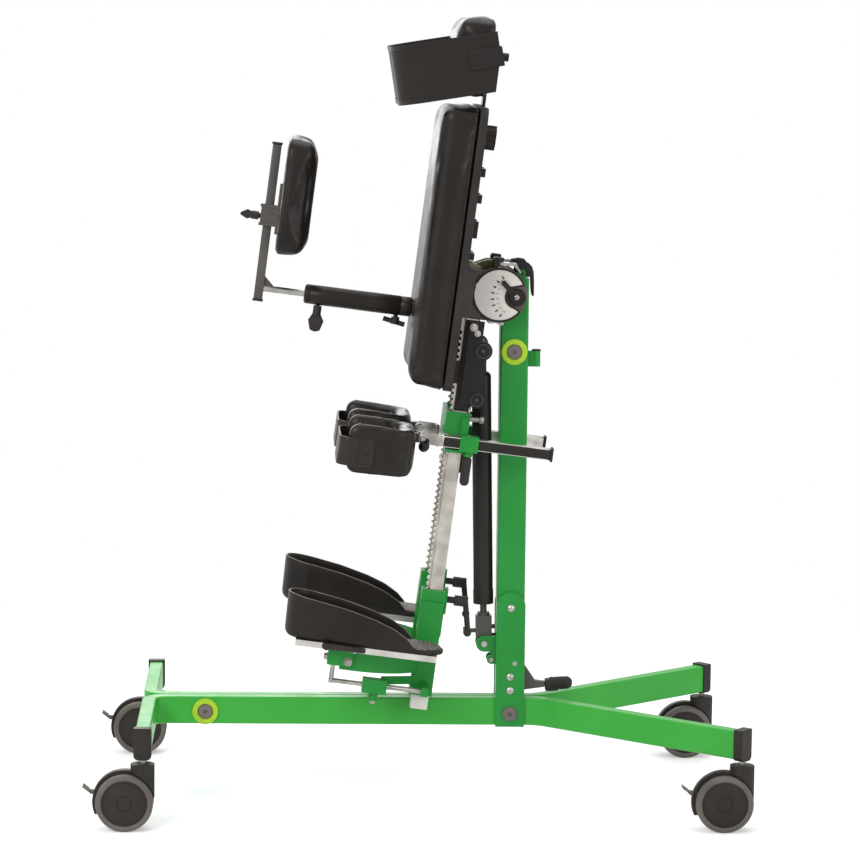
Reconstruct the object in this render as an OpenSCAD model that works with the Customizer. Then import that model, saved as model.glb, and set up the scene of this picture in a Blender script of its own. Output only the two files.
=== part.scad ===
// Standing frame: a wheeled base with a mast, and a padded board that tilts on it.
// The user stands in the sandals facing +X, with knees, trunk and chest against the pads.
// X points forward, Y to the left side, Z up. The origin is on the floor, below the
// middle of the whole frame. Lengths are in millimetres.

/* [Base frame] */
// Height of a base rail
rail_h = 50; // [40:1:60]
// Width of a base rail
rail_w = 25; // [20:1:30]
// Wall of the steel tubes
tube_wall = 2.5; // [1.5:0.5:4]
// Height of the underside of the rails above the floor
rail_z = 126; // [122:1:150]
// Distance from the mast to the front castors
front_reach = 652; // [560:1:720]
// Distance from the mast to the rear castors
rear_reach = 387; // [330:1:440]
// Half of the track of the front castors
front_track = 306; // [240:1:340]
// Half of the track of the rear castors
rear_track = 294; // [240:1:330]
// Bend radius at the front corner of a rail
front_bend = 30; // [26:1:50]
// Bend radius where a rail splays to the rear
rear_bend = 60; // [40:1:90]
// Angle by which the rear legs splay
rear_splay = 40; // [32:1:48]
// Length of the moulded fitting on the end of a leg
cap_len = 18; // [14:1:26]
// Lip of the leg fitting around the tube
cap_lip = 3; // [1.5:0.5:5]

/* [Castors] */
// Diameter of a castor wheel
wheel_d = 100; // [80:1:104]
// Width of one wheel of a pair
wheel_w = 18; // [12:1:20]
// Width of the housing between the two wheels
web_w = 15; // [12:1:20]
// Offset of the axle behind the stem
trail = 31; // [22:1:36]
// Diameter of the steel stem
stem_d = 11; // [8:0.5:14]
// Diameter of the castor neck
neck_d = 41; // [34:1:48]
// Height of the castor neck above the floor
neck_top = 116; // [110:1:118]
// Length of the brake pedal
brake_len = 28; // [20:1:36]

/* [Mast] */
// Side of the square mast
mast = 50; // [44:1:60]
// Height of the mast top above the floor
mast_top = 937; // [930:1:960]
// Height of the tilt axle above the floor
pivot_z = 907; // [890:1:912]
// Thickness of the plates that join mast and rails
plate_t = 5; // [3:0.5:8]
// Height of the top of the joining plates
plate_top = 371; // [340:1:420]
// Diameter of the tilt axle
axle_d = 16; // [12:0.5:20]
// Running clearance of shafts in their bores
run_gap = 0.05; // [0.03:0.01:0.09]
// Clearance of sliding sleeves round their tubes
slide_gap = 0.5; // [0.3:0.1:0.8]

/* [Board] */
// Forward lean of the board as it stands
lean = 7; // [0:0.5:15]
// Half of the width of the trunk cushion
trunk_half = 165; // [120:1:200]
// Lower end of the trunk cushion, from the tilt axle
trunk_low = -176; // [-200:1:-140]
// Upper end of the trunk cushion, from the tilt axle
trunk_high = 328; // [280:1:332]
// Front face of the trunk cushion, from the tilt axle
trunk_front = 178; // [160:1:200]
// Thickness of the trunk cushion
trunk_t = 66; // [40:1:80]
// Thickness of the shell behind the cushion
shell_t = 14; // [8:1:20]
// Half of the distance between the spine tubes
spine_y = 50; // [46:1:60]
// Width of a spine tube
spine_w = 25; // [20:1:30]
// Depth of a spine tube
spine_d = 23; // [20:1:30]
// Lower end of the spine tubes, from the tilt axle
spine_low = -757; // [-800:1:-740]
// Spacing of the notches in the spine racks
notch_pitch = 11; // [8:0.5:16]

/* [Chest support] */
// Half of the width of the chest pad
chest_half = 148; // [110:1:170]
// Height of the chest pad
chest_h = 128; // [100:1:140]
// Thickness of the chest pad
chest_t = 66; // [40:1:80]
// Height of the belt
belt_h = 104; // [70:1:108]
// Angle by which the belt hangs down
belt_droop = 16; // [10:1:20]
// Reach of the belt behind the user
belt_reach = 186; // [150:1:240]

/* [Back support] */
// Height of the back support arm, from the tilt axle
arm_w = -46; // [-60:1:-30]
// Diameter of the padded sleeve on the arm
sleeve_d = 34; // [26:1:44]
// Length of the padded sleeve
sleeve_len = 196; // [140:1:230]
// Diameter of the sliding rod
rod_d = 12; // [8:0.5:16]
// Side of the upright bar
upright = 16; // [12:1:22]
// Length of the upright bar
upright_len = 278; // [220:1:320]
// Height of the back pad
back_h = 211; // [160:1:240]
// Half of the width of the back pad
back_half = 125; // [90:1:160]
// Thickness of the back pad
back_t = 46; // [30:1:56]

/* [Knee supports] */
// Height of the knee bars, from the tilt axle
knee_w = -268; // [-280:1:-262]
// Side of a knee bar
knee_bar = 20; // [14:1:22]
// Length of a knee bar
knee_bar_len = 195; // [170:1:230]
// Distance of a knee bar from the middle
knee_bar_y = 84; // [82:1:92]
// Distance of the middle of a knee cup from the middle plane
knee_y = 113; // [100:1:125]
// Distance between the wings of a knee cup
knee_gap = 100; // [70:1:110]
// Length of a knee cup wing
wing_len = 136; // [110:1:150]
// Height of a knee cup wing
wing_h = 96; // [70:1:110]
// Thickness of a knee cup wing
wing_t = 28; // [20:1:34]

/* [Foot supports] */
// Distance of a sandal from the middle plane
foot_y = 138; // [130:1:160]
// Length of a sandal sole
sole_len = 282; // [230:1:300]
// Width of a sandal sole
sole_wide = 94; // [76:1:96]
// Height of the foot plates, from the tilt axle
foot_w = -638; // [-650:1:-630]
// Height difference of the far foot as it stands
far_lift = 17; // [0:1:40]
// Diameter of the adjusting rod under a foot plate
adjuster_d = 8; // [6:0.5:10]

/* [Strut] */
// Diameter of the strut cylinder
strut_d = 35; // [28:1:38]
// Height of the lower strut pin above the floor
strut_low_z = 274; // [266:1:284]
// Distance of the lower strut pin in front of the mast's middle
strut_low_x = 47; // [42:1:52]
// Height of the upper strut pin, from the tilt axle
strut_high_w = -102; // [-110:1:-95]
// Diameter of the cross tube that carries the strut
cross_d = 27.5; // [22:0.5:30]

/* [Accessory socket] */
// Diameter of the socket bore behind the mast
socket_d = 8; // [6:0.5:10]
// Height of the socket's underside above the floor
socket_z = 778; // [700:1:800]
// Length of the socket
socket_len = 28; // [20:1:40]

/* [Hidden] */
$fn = 64;
SIDES = [["near", -1], ["far", 1]];

green = "#3aa63f";
lime = "#a9cc33";
black = "#33302e";
grey = "#6b6763";
steel = "#b9b7b3";
zinc = "#d5d5d2";
vinyl = "#37332f";

// Base frame places
rail_y = rail_w / 2;
rail_top = rail_z + rail_h;
front_x = -front_reach;
rear_x = rear_reach;
cap_w = rail_w + 2 * cap_lip;
cap_h = rail_h + 2 * cap_lip;
front_bend_x = front_x + front_bend;
rear_turn = rear_bend * tan(rear_splay / 2);
rear_corner_x = rear_x - (rear_track - rail_y) / tan(rear_splay);
rear_bend_x = rear_corner_x - rear_turn;
tube_corner = 3;
lap = 0;
stem_top = rail_z + rail_h / 2 + 12;
stem_low = 70;
plug_len = 30;

// Castor places
wheel_r = wheel_d / 2;
hood_r = wheel_r + 6;
brake_x = -trail - hood_r + 11;
brake_z = wheel_r + 16;
brake_tip = brake_x - brake_len;

// The whole frame runs from the front brake pedals to the rear leg fittings or castor necks
rear_cap_edge = cap_len / 2 * cos(rear_splay) + cap_w / 2 * sin(rear_splay);
rear_edge = rear_x + max(rear_cap_edge, wheel_r - trail, neck_d / 2);
front_edge = front_x + brake_tip;
origin_x = -(front_edge + rear_edge) / 2;

// Board places, along U forward of the axle and W up from it
spine_back = -60;
spine_front = spine_back - spine_d;
rack_d = 7;
rack_t = 6;
shell_back = -trunk_front + trunk_t + shell_t;
cushion_back = -trunk_front + trunk_t;
head_low = -48;
head_high = 40;
head_in = mast / 2 + 3;
head_out = 58;
dial_u = -30;
dial_r = 49;
plate_r = 46;
hub_r = 13;
hub_y = head_out + 2.3;

// Strut places
cross_u = spine_back + cross_d / 2;
strut_low = [-strut_low_x, strut_low_z];
strut_high = [cross_u * cos(lean) + strut_high_w * sin(lean),
  pivot_z + strut_high_w * cos(lean) - cross_u * sin(lean)];
strut_len = norm(strut_high - strut_low);
strut_tilt = atan2(strut_high[0] - strut_low[0], strut_high[1] - strut_low[1]);
strut_pin_d = 8;
eye_half = 4;
eye_gap = 1;
cylinder_low = 72;
cylinder_high = strut_len - 43;

// Sleeves round the spine tubes
sleeve_in = spine_y - spine_w / 2 - slide_gap;
sleeve_out = spine_y + spine_w / 2 + slide_gap;
sleeve_front = spine_front - rack_d - slide_gap;
sleeve_back = spine_back + slide_gap;
sleeve_wall = 6;

function flip(side) = side == "near" ? 0 : 1;

module placed() {
  translate([origin_x, 0, 0]) children();
}

// Turns children drawn along U, Y and W into the lean of the board
module leaned() {
  placed() translate([0, 0, pivot_z]) rotate([0, lean, 0]) children();
}

// Children are drawn on the near side, at negative Y
module on_side(side) {
  mirror([0, flip(side), 0]) children();
}

module both_sides() {
  children();
  mirror([0, 1, 0]) children();
}

module block(x0, x1, y0, y1, z0, z1) {
  translate([x0, y0, z0]) cube([x1 - x0, y1 - y0, z1 - z0]);
}

module rod_x(r, x0, x1) {
  translate([x0, 0, 0]) rotate([0, 90, 0]) cylinder(r = r, h = x1 - x0);
}

module rod_y(r, y0, y1) {
  translate([0, y1, 0]) rotate([90, 0, 0]) cylinder(r = r, h = y1 - y0);
}

module rod_z(r, z0, z1) {
  translate([0, 0, z0]) cylinder(r = r, h = z1 - z0);
}

// A profile drawn in X and Z, and given its width along Y
module side_profile(y0, y1) {
  translate([0, y1, 0]) rotate([90, 0, 0]) linear_extrude(y1 - y0) children();
}

module rounded_rect(w, h, r) {
  square([w - 2 * r, h], center = true);
  square([w, h - 2 * r], center = true);
  for (i = [-1, 1], j = [-1, 1])
    translate([i * (w / 2 - r), j * (h / 2 - r)]) circle(r);
}

module tube_profile(w, h, wall, r) {
  difference() {
    rounded_rect(w, h, r);
    rounded_rect(w - 2 * wall, h - 2 * wall, max(r - wall, 0.5));
  }
}

// A turned knob or pad section: points on an outline that shrinks by d at height h
function ring_points(hx, hy, d, h, n, p) = [for (i = [0:n - 1])
  let (t = 360 * (i + 0.5) / n)
  [(hx - d) * sign(cos(t)) * pow(abs(cos(t)), 2 / p),
   (hy - d) * sign(sin(t)) * pow(abs(sin(t)), 2 / p), h]];

// A pad with round edges, a waist that is drawn in and a crown on its front and back
module pad(hx, hy, t, r, crown, back_crown = 0, waist = 2, n = 44, p = 6) {
  turn = [0, 30, 60, 90];
  fade = [0.8, 0.55, 0.28];
  back = [for (s = [0.28, 0.55, 0.8]) [(1 - s) * min(hx, hy), -back_crown * (1 - s * s)]];
  low = [for (a = turn) [r * (1 - sin(a)), r * (1 - cos(a))]];
  high = [for (a = turn) [r * (1 - cos(a)), t - r * (1 - sin(a))]];
  front = [for (s = fade) [(1 - s) * min(hx, hy), t + crown * (1 - s * s)]];
  steps = concat(back, low, [[waist, t / 2]], high, front);
  points = concat([for (s = steps) each ring_points(hx, hy, s[0], s[1], n, p)],
    [[0, 0, -back_crown], [0, 0, t + crown]]);
  polyhedron(points, skin_faces(len(steps), n));
}

// Faces of a skin over a row of rings, closed by a fan of triangles at each end
function skin_faces(rings, n) = concat(
  [for (k = [0:rings - 2], i = [0:n - 1]) let (j = (i + 1) % n, a = k * n, b = a + n)
    each [[a + j, a + i, b + i], [a + j, b + i, b + j]]],
  [for (i = [0:n - 1]) [i, (i + 1) % n, rings * n]],
  [for (i = [0:n - 1]) [(rings - 1) * n + (i + 1) % n, (rings - 1) * n + i, rings * n + 1]]);

// One base rail: a straight run, a front leg turned outwards and a rear leg that splays
module rail(side) {
  on_side(side) difference() {
    union() {
      translate([front_bend_x - lap, -rail_y, rail_z + rail_h / 2])
        rail_run(rear_bend_x - front_bend_x + 2 * lap);
      translate([front_bend_x, -rail_y - front_bend, rail_z + rail_h / 2]) rotate([0, 0, 90])
        rail_turn(front_bend, 90);
      translate([front_x, -rail_y - front_bend + lap, rail_z + rail_h / 2]) rotate([0, 0, -90])
        rail_run(front_track - rail_y - front_bend - cap_len / 2 + lap);
      translate([rear_bend_x, -rail_y - rear_bend, rail_z + rail_h / 2]) rotate([0, 0, 90 - rear_splay])
        rail_turn(rear_bend, rear_splay);
      translate([rear_x, -rear_track, rail_z + rail_h / 2]) rotate([0, 0, 180 - rear_splay])
        translate([cap_len / 2, 0, 0]) rail_run(rear_leg_len() + lap);
    }
    translate([ring_rail_x, 0, ring_rail_z]) rod_y(ring_stem_r + 0.1, -rail_w - 1, -rail_w + tube_wall + 1);
    translate([0, 0, clamp_z]) rod_y(clamp_r + 0.1, -rail_w - 1, 1);
  }
}

function rear_leg_len() = norm([rear_x - rear_corner_x, rear_track - rail_y]) - rear_turn - cap_len / 2;

module rail_run(length) {
  rotate([90, 0, 90]) linear_extrude(length) tube_profile(rail_w, rail_h, tube_wall, tube_corner);
}

module rail_turn(radius, angle) {
  rotate_extrude(angle = angle) translate([radius, 0])
    tube_profile(rail_w, rail_h, tube_wall, tube_corner);
}

// Calls its children at each leg end, with local X pointing out along the leg
module at_leg_ends() {
  for (s = [-1, 1]) {
    translate([front_x, s * front_track, 0]) rotate([0, 0, s * 90]) children();
    translate([rear_x, s * rear_track, 0]) rotate([0, 0, s * rear_splay]) children();
  }
}

cap_round = 9;
cap_z = rail_z + rail_h / 2;

// Moulded fitting: a collar that closes the tube and carries the stem, and a plug in the tube
module leg_end_cap() {
  difference() {
    union() {
      translate([-cap_len / 2, 0, cap_z]) rotate([90, 0, 90]) linear_extrude(cap_len) cap_outline();
      block(-cap_len / 2 - plug_len, -cap_len / 2, -rail_w / 2 + tube_wall + 0.3,
        rail_w / 2 - tube_wall - 0.3, rail_z + tube_wall + 0.3, rail_top - tube_wall - 0.3);
    }
    rod_z(stem_d / 2, 0, stem_top);
  }
}

module cap_outline() {
  translate([0, cap_round / 2]) square([cap_w, cap_h - cap_round], center = true);
  translate([0, -cap_h / 2 + cap_round / 2]) square([cap_w - 2 * cap_round, cap_round], center = true);
  for (i = [-1, 1])
    translate([i * (cap_w / 2 - cap_round), -cap_h / 2 + cap_round]) circle(cap_round);
}

// Steel stem with a shoulder that runs in the castor neck
module castor_stem() {
  rod_z(stem_d / 2, stem_low, stem_top);
}

// Castor housing, drawn with the stem at the origin and the wheels behind it at negative X
module castor_fork() {
  difference() {
    union() {
      difference() {
        rod_z(neck_d / 2, wheel_r + 8, neck_top);
        for (s = [-1, 1])
          translate([-trail, 0, wheel_r]) rod_y(wheel_r + 2,
            s > 0 ? web_w / 2 : -neck_d, s > 0 ? neck_d : -web_w / 2);
      }
      side_profile(-web_w / 2, web_w / 2) castor_web();
    }
    rod_z(stem_d / 2 + run_gap, stem_low - 0.5, neck_top + 1);
    translate([-trail, 0, wheel_r]) rod_y(castor_axle_r + run_gap, -web_w, web_w);
    brake_pocket();
  }
}

castor_axle_r = 5;

module castor_web() {
  difference() {
    union() {
      translate([-trail, wheel_r]) circle(hood_r);
      translate([-neck_d / 2, wheel_r]) square([neck_d, neck_top - wheel_r]);
    }
    translate([neck_d / 2, 0]) square([hood_r, neck_top]);
    translate([-trail - 2 * hood_r, -hood_r]) square([4 * hood_r, hood_r + 28]);
    translate([6, 0]) square([hood_r, wheel_r + 7]);
  }
}

brake_pin_r = 2.5;
brake_slot = web_w - 6;

// Slot in the hood that the pedal's root turns in
module brake_pocket() {
  translate([brake_x, 0, brake_z]) {
    rod_y(brake_pin_r + run_gap, -web_w, web_w);
    rod_y(7, -brake_slot / 2, brake_slot / 2);
    side_profile(-brake_slot / 2, brake_slot / 2)
      polygon([[0, 7], [-brake_len, 16], [-brake_len, -16], [0, -7]]);
  }
}

// Brake pedal with a broad tread, turning on its own pin
module castor_brake() {
  translate([brake_x, 0, brake_z]) {
    rod_y(brake_pin_r, -web_w / 2 + 0.2, web_w / 2 - 0.2);
    rod_y(5.5, -brake_slot / 2 + 0.3, brake_slot / 2 - 0.3);
    side_profile(-brake_slot / 2 + 0.3, brake_slot / 2 - 0.3)
      polygon([[0, 4], [-14, 4], [-brake_len + 2, 13], [-brake_len + 3, 9], [-14, -3], [0, -4]]);
    side_profile(-11, 11)
      polygon([[-16, 5], [-brake_len + 1, 13.2], [-brake_len, 10], [-16, 1]]);
  }
}

// A pair of wheels on one axle, with a tread band and a recessed cover on each
module castor_wheels() {
  translate([-trail, 0, wheel_r]) rotate([90, 0, 0]) {
    cylinder(r = castor_axle_r, h = web_w + 4, center = true);
    for (s = [0, 1]) mirror([0, 0, s]) translate([0, 0, web_w / 2 + 0.8]) castor_wheel();
  }
}

cover_r = 39;

module castor_wheel() {
  edge = 5;
  rotate_extrude() difference() {
    union() {
      square([wheel_r - edge, wheel_w]);
      translate([0, edge]) square([wheel_r, wheel_w - 2 * edge]);
      for (y = [edge, wheel_w - edge]) translate([wheel_r - edge, y]) circle(edge);
    }
    translate([cover_r, wheel_w - 1.2]) square([1.2, 3]);
    translate([cover_r + 1.2, wheel_w - 0.6]) square([2, 3]);
    translate([-2 * wheel_r, -wheel_r]) square([2 * wheel_r, 3 * wheel_r]);
  }
}

// Calls a castor part at one of the four stems
module at_castor(end, side) {
  x = end == "front" ? front_x : rear_x;
  y = end == "front" ? front_track : rear_track;
  placed() translate([x, side == "near" ? -y : y, 0]) children();
}

// Mast places
mast_half = mast / 2;
mast_corner = 4;
clamp_z = rail_z + 22;
clamp_r = 6;
bolt_r = 4;
ring_r = 23.5;
ring_hole_r = 13.5;
ring_t = 4;
ring_stem_r = 5;
ring_rail_x = front_x + 101;
ring_rail_z = rail_z + 23;
ring_mast_z = 806;
plate_bolts = [216, 191, plate_top - 29];
ear_in = 12;
ear_t = 5;
ear_r = 14.5;
small_ear = [-34, 245];
small_ear_r = 8;

// Square mast with ears for the strut in front and the accessory socket behind
module mast_tube() {
  difference() {
    union() {
      translate([0, 0, rail_top]) linear_extrude(mast_top - rail_top)
        tube_profile(mast, mast, tube_wall + 0.5, mast_corner);
      block(-mast_half + 2, mast_half - 2, -mast_half + 2, mast_half - 2, mast_top - 4, mast_top);
      both_sides() strut_ear();
      both_sides() side_profile(-lever_half - 5, -lever_half - 0.5) {
        translate(lever_pin) circle(7);
        translate([lever_pin[0] - 7, mast_top - 2]) square([14, lever_pin[1] - mast_top + 2]);
      }
      accessory_socket();
    }
    translate([lever_pin[0], 0, lever_pin[1]]) rod_y(lever_pin_r + run_gap, -mast, mast);
    translate([pedal_x, 0, pedal_z]) rod_y(pedal_pin_r, -mast, mast);
    block(mast_half - 5, mast, -pedal_half - 1.5, pedal_half + 1.5, rail_top + 6, pedal_z + 2);
    translate([0, 0, pivot_z]) rod_y(axle_d / 2, -mast, mast);
    for (s = [0, 1]) mirror([0, s, 0])
      translate([0, 0, ring_mast_z]) rod_y(ring_stem_r + 0.1, -mast, -mast_half + tube_wall + 2);
    for (z = plate_bolts) translate([0, 0, z]) rod_y(bolt_r, -mast, mast);
    translate([-strut_low_x, 0, strut_low_z]) rod_y(strut_pin_d / 2, -mast, mast);
    translate([small_ear[0], 0, small_ear[1]]) rod_y(3, -mast, mast);
  }
}

// One welded ear with a large eye for the strut pin and a small one below it
module strut_ear() {
  side_profile(-ear_in - ear_t, -ear_in) {
    translate([-strut_low_x, strut_low_z]) circle(ear_r);
    translate([-strut_low_x, strut_low_z - ear_r]) square([strut_low_x - mast_half + 1, 2 * ear_r]);
    translate(small_ear) circle(small_ear_r);
    translate([small_ear[0], small_ear[1] - small_ear_r])
      square([-small_ear[0] - mast_half + 1, strut_low_z - small_ear[1]]);
  }
}

socket_r = socket_d / 2 + 3.5;
socket_x = mast_half + 16;

module accessory_socket() {
  difference() {
    union() {
      translate([socket_x, 0, 0]) rod_z(socket_r, socket_z, socket_z + socket_len);
      block(mast_half - 1, socket_x, -6, 6, socket_z, socket_z + socket_len);
    }
    translate([socket_x, 0, 0]) rod_z(socket_d / 2, socket_z - 1, socket_z + socket_len + 1);
    block(-mast, mast_half - 0.9, -7, 7, socket_z - 1, socket_z + socket_len + 1);
  }
}

// Pair of plates with round tops that clamp the mast to the rails
module mast_plates() {
  both_sides() difference() {
    side_profile(-mast_half - plate_t, -mast_half) {
      translate([-mast_half - 1, rail_z - 2]) square([mast + 2, plate_top - mast_half - 1 - rail_z + 2]);
      translate([0, plate_top - mast_half - 1]) circle(mast_half + 1);
    }
    for (z = plate_bolts) translate([0, 0, z]) rod_y(bolt_r, -mast, 0);
    translate([0, 0, clamp_z]) rod_y(clamp_r + 0.1, -mast, 0);
    translate([pedal_x, 0, pedal_z]) rod_y(pedal_pin_r, -mast, 0);
  }
}

// Steel pins of the frame: through bolts, castor stems, tilt axle and the pins of the strut ears
module frame_pins() {
  at_leg_ends() castor_stem();
  tilt_axle();
  translate([pedal_x, 0, pedal_z]) rod_y(pedal_pin_r, -mast_half - plate_t, mast_half + plate_t);
  for (z = plate_bolts) translate([0, 0, z]) {
    rod_y(bolt_r, -mast_half - plate_t, mast_half + plate_t);
    both_sides() bolt_head(6.5, 3.5);
  }
  translate([-strut_low_x, 0, strut_low_z]) {
    rod_y(strut_pin_d / 2, -ear_in - ear_t - 2, ear_in + ear_t + 2);
    for (s = [0, 1]) mirror([0, s, 0]) rod_y(5.5, -ear_in - ear_t - 3, -ear_in - ear_t);
  }
  translate([small_ear[0], 0, small_ear[1]]) {
    rod_y(3, -ear_in - ear_t - 2, ear_in + ear_t + 2);
    for (s = [0, 1]) mirror([0, s, 0]) rod_y(4.5, -ear_in - ear_t - 2.5, -ear_in - ear_t);
  }
}

module bolt_head(r, h) {
  translate([0, -mast_half - plate_t, 0]) rotate([90, 0, 0]) rotate_extrude() {
    square([r, h / 2]);
    intersection() {
      translate([0, h - r * 1.4]) circle(r * 1.4);
      translate([0, h / 2]) square([r, h]);
    }
  }
}

// Coloured rings on the outside of the rails and the mast
module ring_caps() {
  both_sides() {
    translate([ring_rail_x, -rail_w, ring_rail_z]) ring_cap();
    translate([0, -mast_half, ring_mast_z]) ring_cap();
  }
}

module ring_cap() {
  rotate([90, 0, 0]) rotate_extrude() {
    translate([ring_hole_r, 0]) square([ring_r - ring_hole_r, ring_t - 1]);
    translate([ring_hole_r + 1, 0]) square([ring_r - ring_hole_r - 2, ring_t]);
  }
}

// Ribbed plugs in the rings and at the foot of the mast plates
module ring_plugs() {
  both_sides() {
    translate([ring_rail_x, -rail_w, ring_rail_z]) ring_plug(tube_wall + 1);
    translate([0, -mast_half, ring_mast_z]) ring_plug(tube_wall + 1);
  }
  both_sides() translate([0, -mast_half - plate_t, clamp_z]) ring_plug(0);
  translate([0, 0, clamp_z]) rod_y(clamp_r, -mast_half - plate_t, mast_half + plate_t);
}

module ring_plug(stem) {
  ribs = 10;
  rotate([90, 0, 0]) difference() {
    union() {
      cylinder(r = ring_hole_r - 0.5, h = ring_t + 1);
      translate([0, 0, -stem]) cylinder(r = ring_stem_r, h = stem + 1);
    }
    for (i = [0:ribs - 1]) rotate([0, 0, 360 * i / ribs])
      translate([ring_hole_r, 0, ring_t - 1.5]) cylinder(r = 1.6, h = 4);
    translate([0, 0, ring_t - 2]) cylinder(r = 3.4, h = 4);
  }
}

// Tilt axle, fixed in the mast, that the board's heads turn on
module tilt_axle() {
  translate([0, 0, pivot_z]) rod_y(axle_d / 2, -hub_y, hub_y);
}

pointer_angle = 131.7;
pointer_len = 38;
pointer_t = 5;

// Pointer of the angle scale on the near side and a plain hub on the far side
module angle_pointer() {
  translate([0, 0, pivot_z]) {
    both_sides() rod_y(hub_r, -hub_y - pointer_t, -hub_y);
    side_profile(-hub_y - pointer_t, -hub_y - 1) rotate(pointer_angle) {
      translate([0, -4.5]) square([pointer_len - 4, 9]);
      translate([pointer_len - 4, 0]) circle(4.5);
    }
  }
}

pedal_x = 8;
pedal_z = 240;
pedal_pin_r = 4;
pedal_half = 6;
pedal_hub_r = 9;
grip_x = 62;
grip_z = 198;
grip_len = 53;
grip_rise = 3;

// Foot pedal that works the strut: a hub on a pin inside the mast and a cranked arm
module foot_pedal() {
  difference() {
    union() {
      translate([pedal_x, 0, pedal_z]) rod_y(pedal_hub_r, -pedal_half, pedal_half);
      side_profile(-pedal_half, pedal_half)
        polygon([[pedal_x, pedal_z - pedal_hub_r], [pedal_x, pedal_z + 5], [mast_half + 3, pedal_z - 7],
          [grip_x - 15, grip_z + 7], [grip_x + 2, grip_z + 5], [grip_x + 2, grip_z - 5],
          [mast_half + 3, grip_z - 10], [mast_half - 8, grip_z - 6], [mast_half - 8, pedal_z - 16]]);
      translate([grip_x, 0, grip_z]) rotate([0, -grip_rise, 0]) rod_x(4.5, 0, grip_len - 8);
    }
    translate([pedal_x, 0, pedal_z]) rod_y(pedal_pin_r + run_gap, -mast, mast);
  }
}

// Rubber grip pushed over the end of the pedal arm
module pedal_grip() {
  translate([grip_x, 0, grip_z]) rotate([0, -grip_rise, 0]) difference() {
    union() {
      translate([3, -10, -13]) cube([24, 20, 22]);
      rod_x(12, 16, grip_len - 12);
      translate([grip_len - 12, 0, 0]) sphere(12);
    }
    rod_x(4.6, 0, grip_len - 7.9);
  }
}

// Strut, drawn along Z from its lower pin
module along_strut() {
  placed() translate([-strut_low_x, 0, strut_low_z]) rotate([0, strut_tilt, 0]) children();
}

rod_r = 6;
piston_r = 13.5;
piston_z = 430;

// Strut rod with its foot block, lower eye, ring nut and piston
module strut_rod() {
  difference() {
    union() {
      rod_y(12, -ear_in + 0.4, ear_in - 0.4);
      translate([-14.5, -ear_in + 0.4, 10]) cube([29, 2 * ear_in - 0.8, 40]);
      rod_z(11, 50, 56);
      rod_z(rod_r, 50, piston_z);
      rod_z(piston_r, piston_z, piston_z + 12);
      translate([0, 0, 22]) rod_x(4, -34, -14);
      translate([0, 0, 22]) rod_x(7, -37, -34);
      translate([0, 0, 29]) rod_x(4, 14, 20);
    }
    rod_y(strut_pin_d / 2 + run_gap, -mast, mast);
  }
}

// Strut cylinder with a thicker lower gland, a domed top and an open eye
module strut_cylinder() {
  wall = 2.5;
  gland = 26;
  dome = 10;
  difference() {
    union() {
      rotate_extrude() {
        translate([0, cylinder_low]) square([strut_d / 2 + 0.7, gland]);
        translate([0, cylinder_low + gland]) square([strut_d / 2, cylinder_high - cylinder_low - gland - dome]);
        translate([0, cylinder_high - dome]) square([strut_d / 2 - dome, dome]);
        intersection() {
          translate([strut_d / 2 - dome, cylinder_high - dome]) circle(dome);
          square([strut_d / 2, cylinder_high]);
        }
      }
      side_profile(-eye_half, eye_half) {
        translate([0, strut_len]) circle(13);
        translate([-9, cylinder_high - 5]) square([18, strut_len - cylinder_high + 5]);
      }
    }
    rod_z(rod_r + run_gap, cylinder_low - 1, cylinder_low + gland);
    rod_z(strut_d / 2 - wall, cylinder_low + gland - 1, cylinder_high - 14);
    translate([0, 0, strut_len]) rod_y(6.3, -mast, mast);
  }
}

bracket_in = spine_y + spine_w / 2;
bracket_t = 6.5;
lower_ring_w = -190;

// Bracket on the spine tubes: side plates, a split cross tube and two stub pins for the strut
module strut_bracket() {
  both_sides() {
    side_profile(-bracket_in - bracket_t, -bracket_in) {
      translate([cross_u, strut_high_w]) circle(cross_d / 2 + 3);
      translate([cross_u, lower_ring_w]) circle(cross_d / 2 + 1.5);
      translate([spine_back - 16, lower_ring_w - 12]) square([26, head_low - 2 - lower_ring_w + 12]);
      translate([spine_back, lower_ring_w]) square([22, strut_high_w - lower_ring_w]);
    }
    translate([cross_u, 0, strut_high_w]) rod_y(cross_d / 2, -bracket_in - bracket_t - 2, -eye_half - 8);
    translate([cross_u, 0, strut_high_w]) rod_y(6, -eye_half - 9, -eye_half - eye_gap);
    translate([cross_u, 0, lower_ring_w]) rod_y(cross_d / 2 - 1, -bracket_in - bracket_t - 2, -bracket_in - 1);
  }
}

notches = floor((head_low - spine_low - 20) / notch_pitch);

// Steel tubes of the board: the two spine tubes and the guide tube of the back support
module board_tubes() {
  spine_tubes();
  arm_tube();
}

// Two square spine tubes with notched racks on their front faces
module spine_tubes() {
  both_sides() {
    difference() {
      block(spine_front, spine_back, -spine_y - spine_w / 2, -spine_y + spine_w / 2, spine_low, head_low);
      block(spine_front + tube_wall, spine_back - tube_wall, -spine_y - spine_w / 2 + tube_wall,
        -spine_y + spine_w / 2 - tube_wall, spine_low - 1, head_low - 10);
    }
    side_profile(-spine_y - rack_t / 2, -spine_y + rack_t / 2) difference() {
      translate([spine_front - rack_d, spine_low]) square([rack_d, head_low - spine_low]);
      for (i = [1:notches])
        translate([spine_front - rack_d, spine_low + i * notch_pitch]) circle(notch_pitch * 0.32);
    }
  }
}

rib_marks = [[210, 15], [163, 15], [108, 30], [60, 12]];
rib_d = 15;
rib_half = 45;

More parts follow.
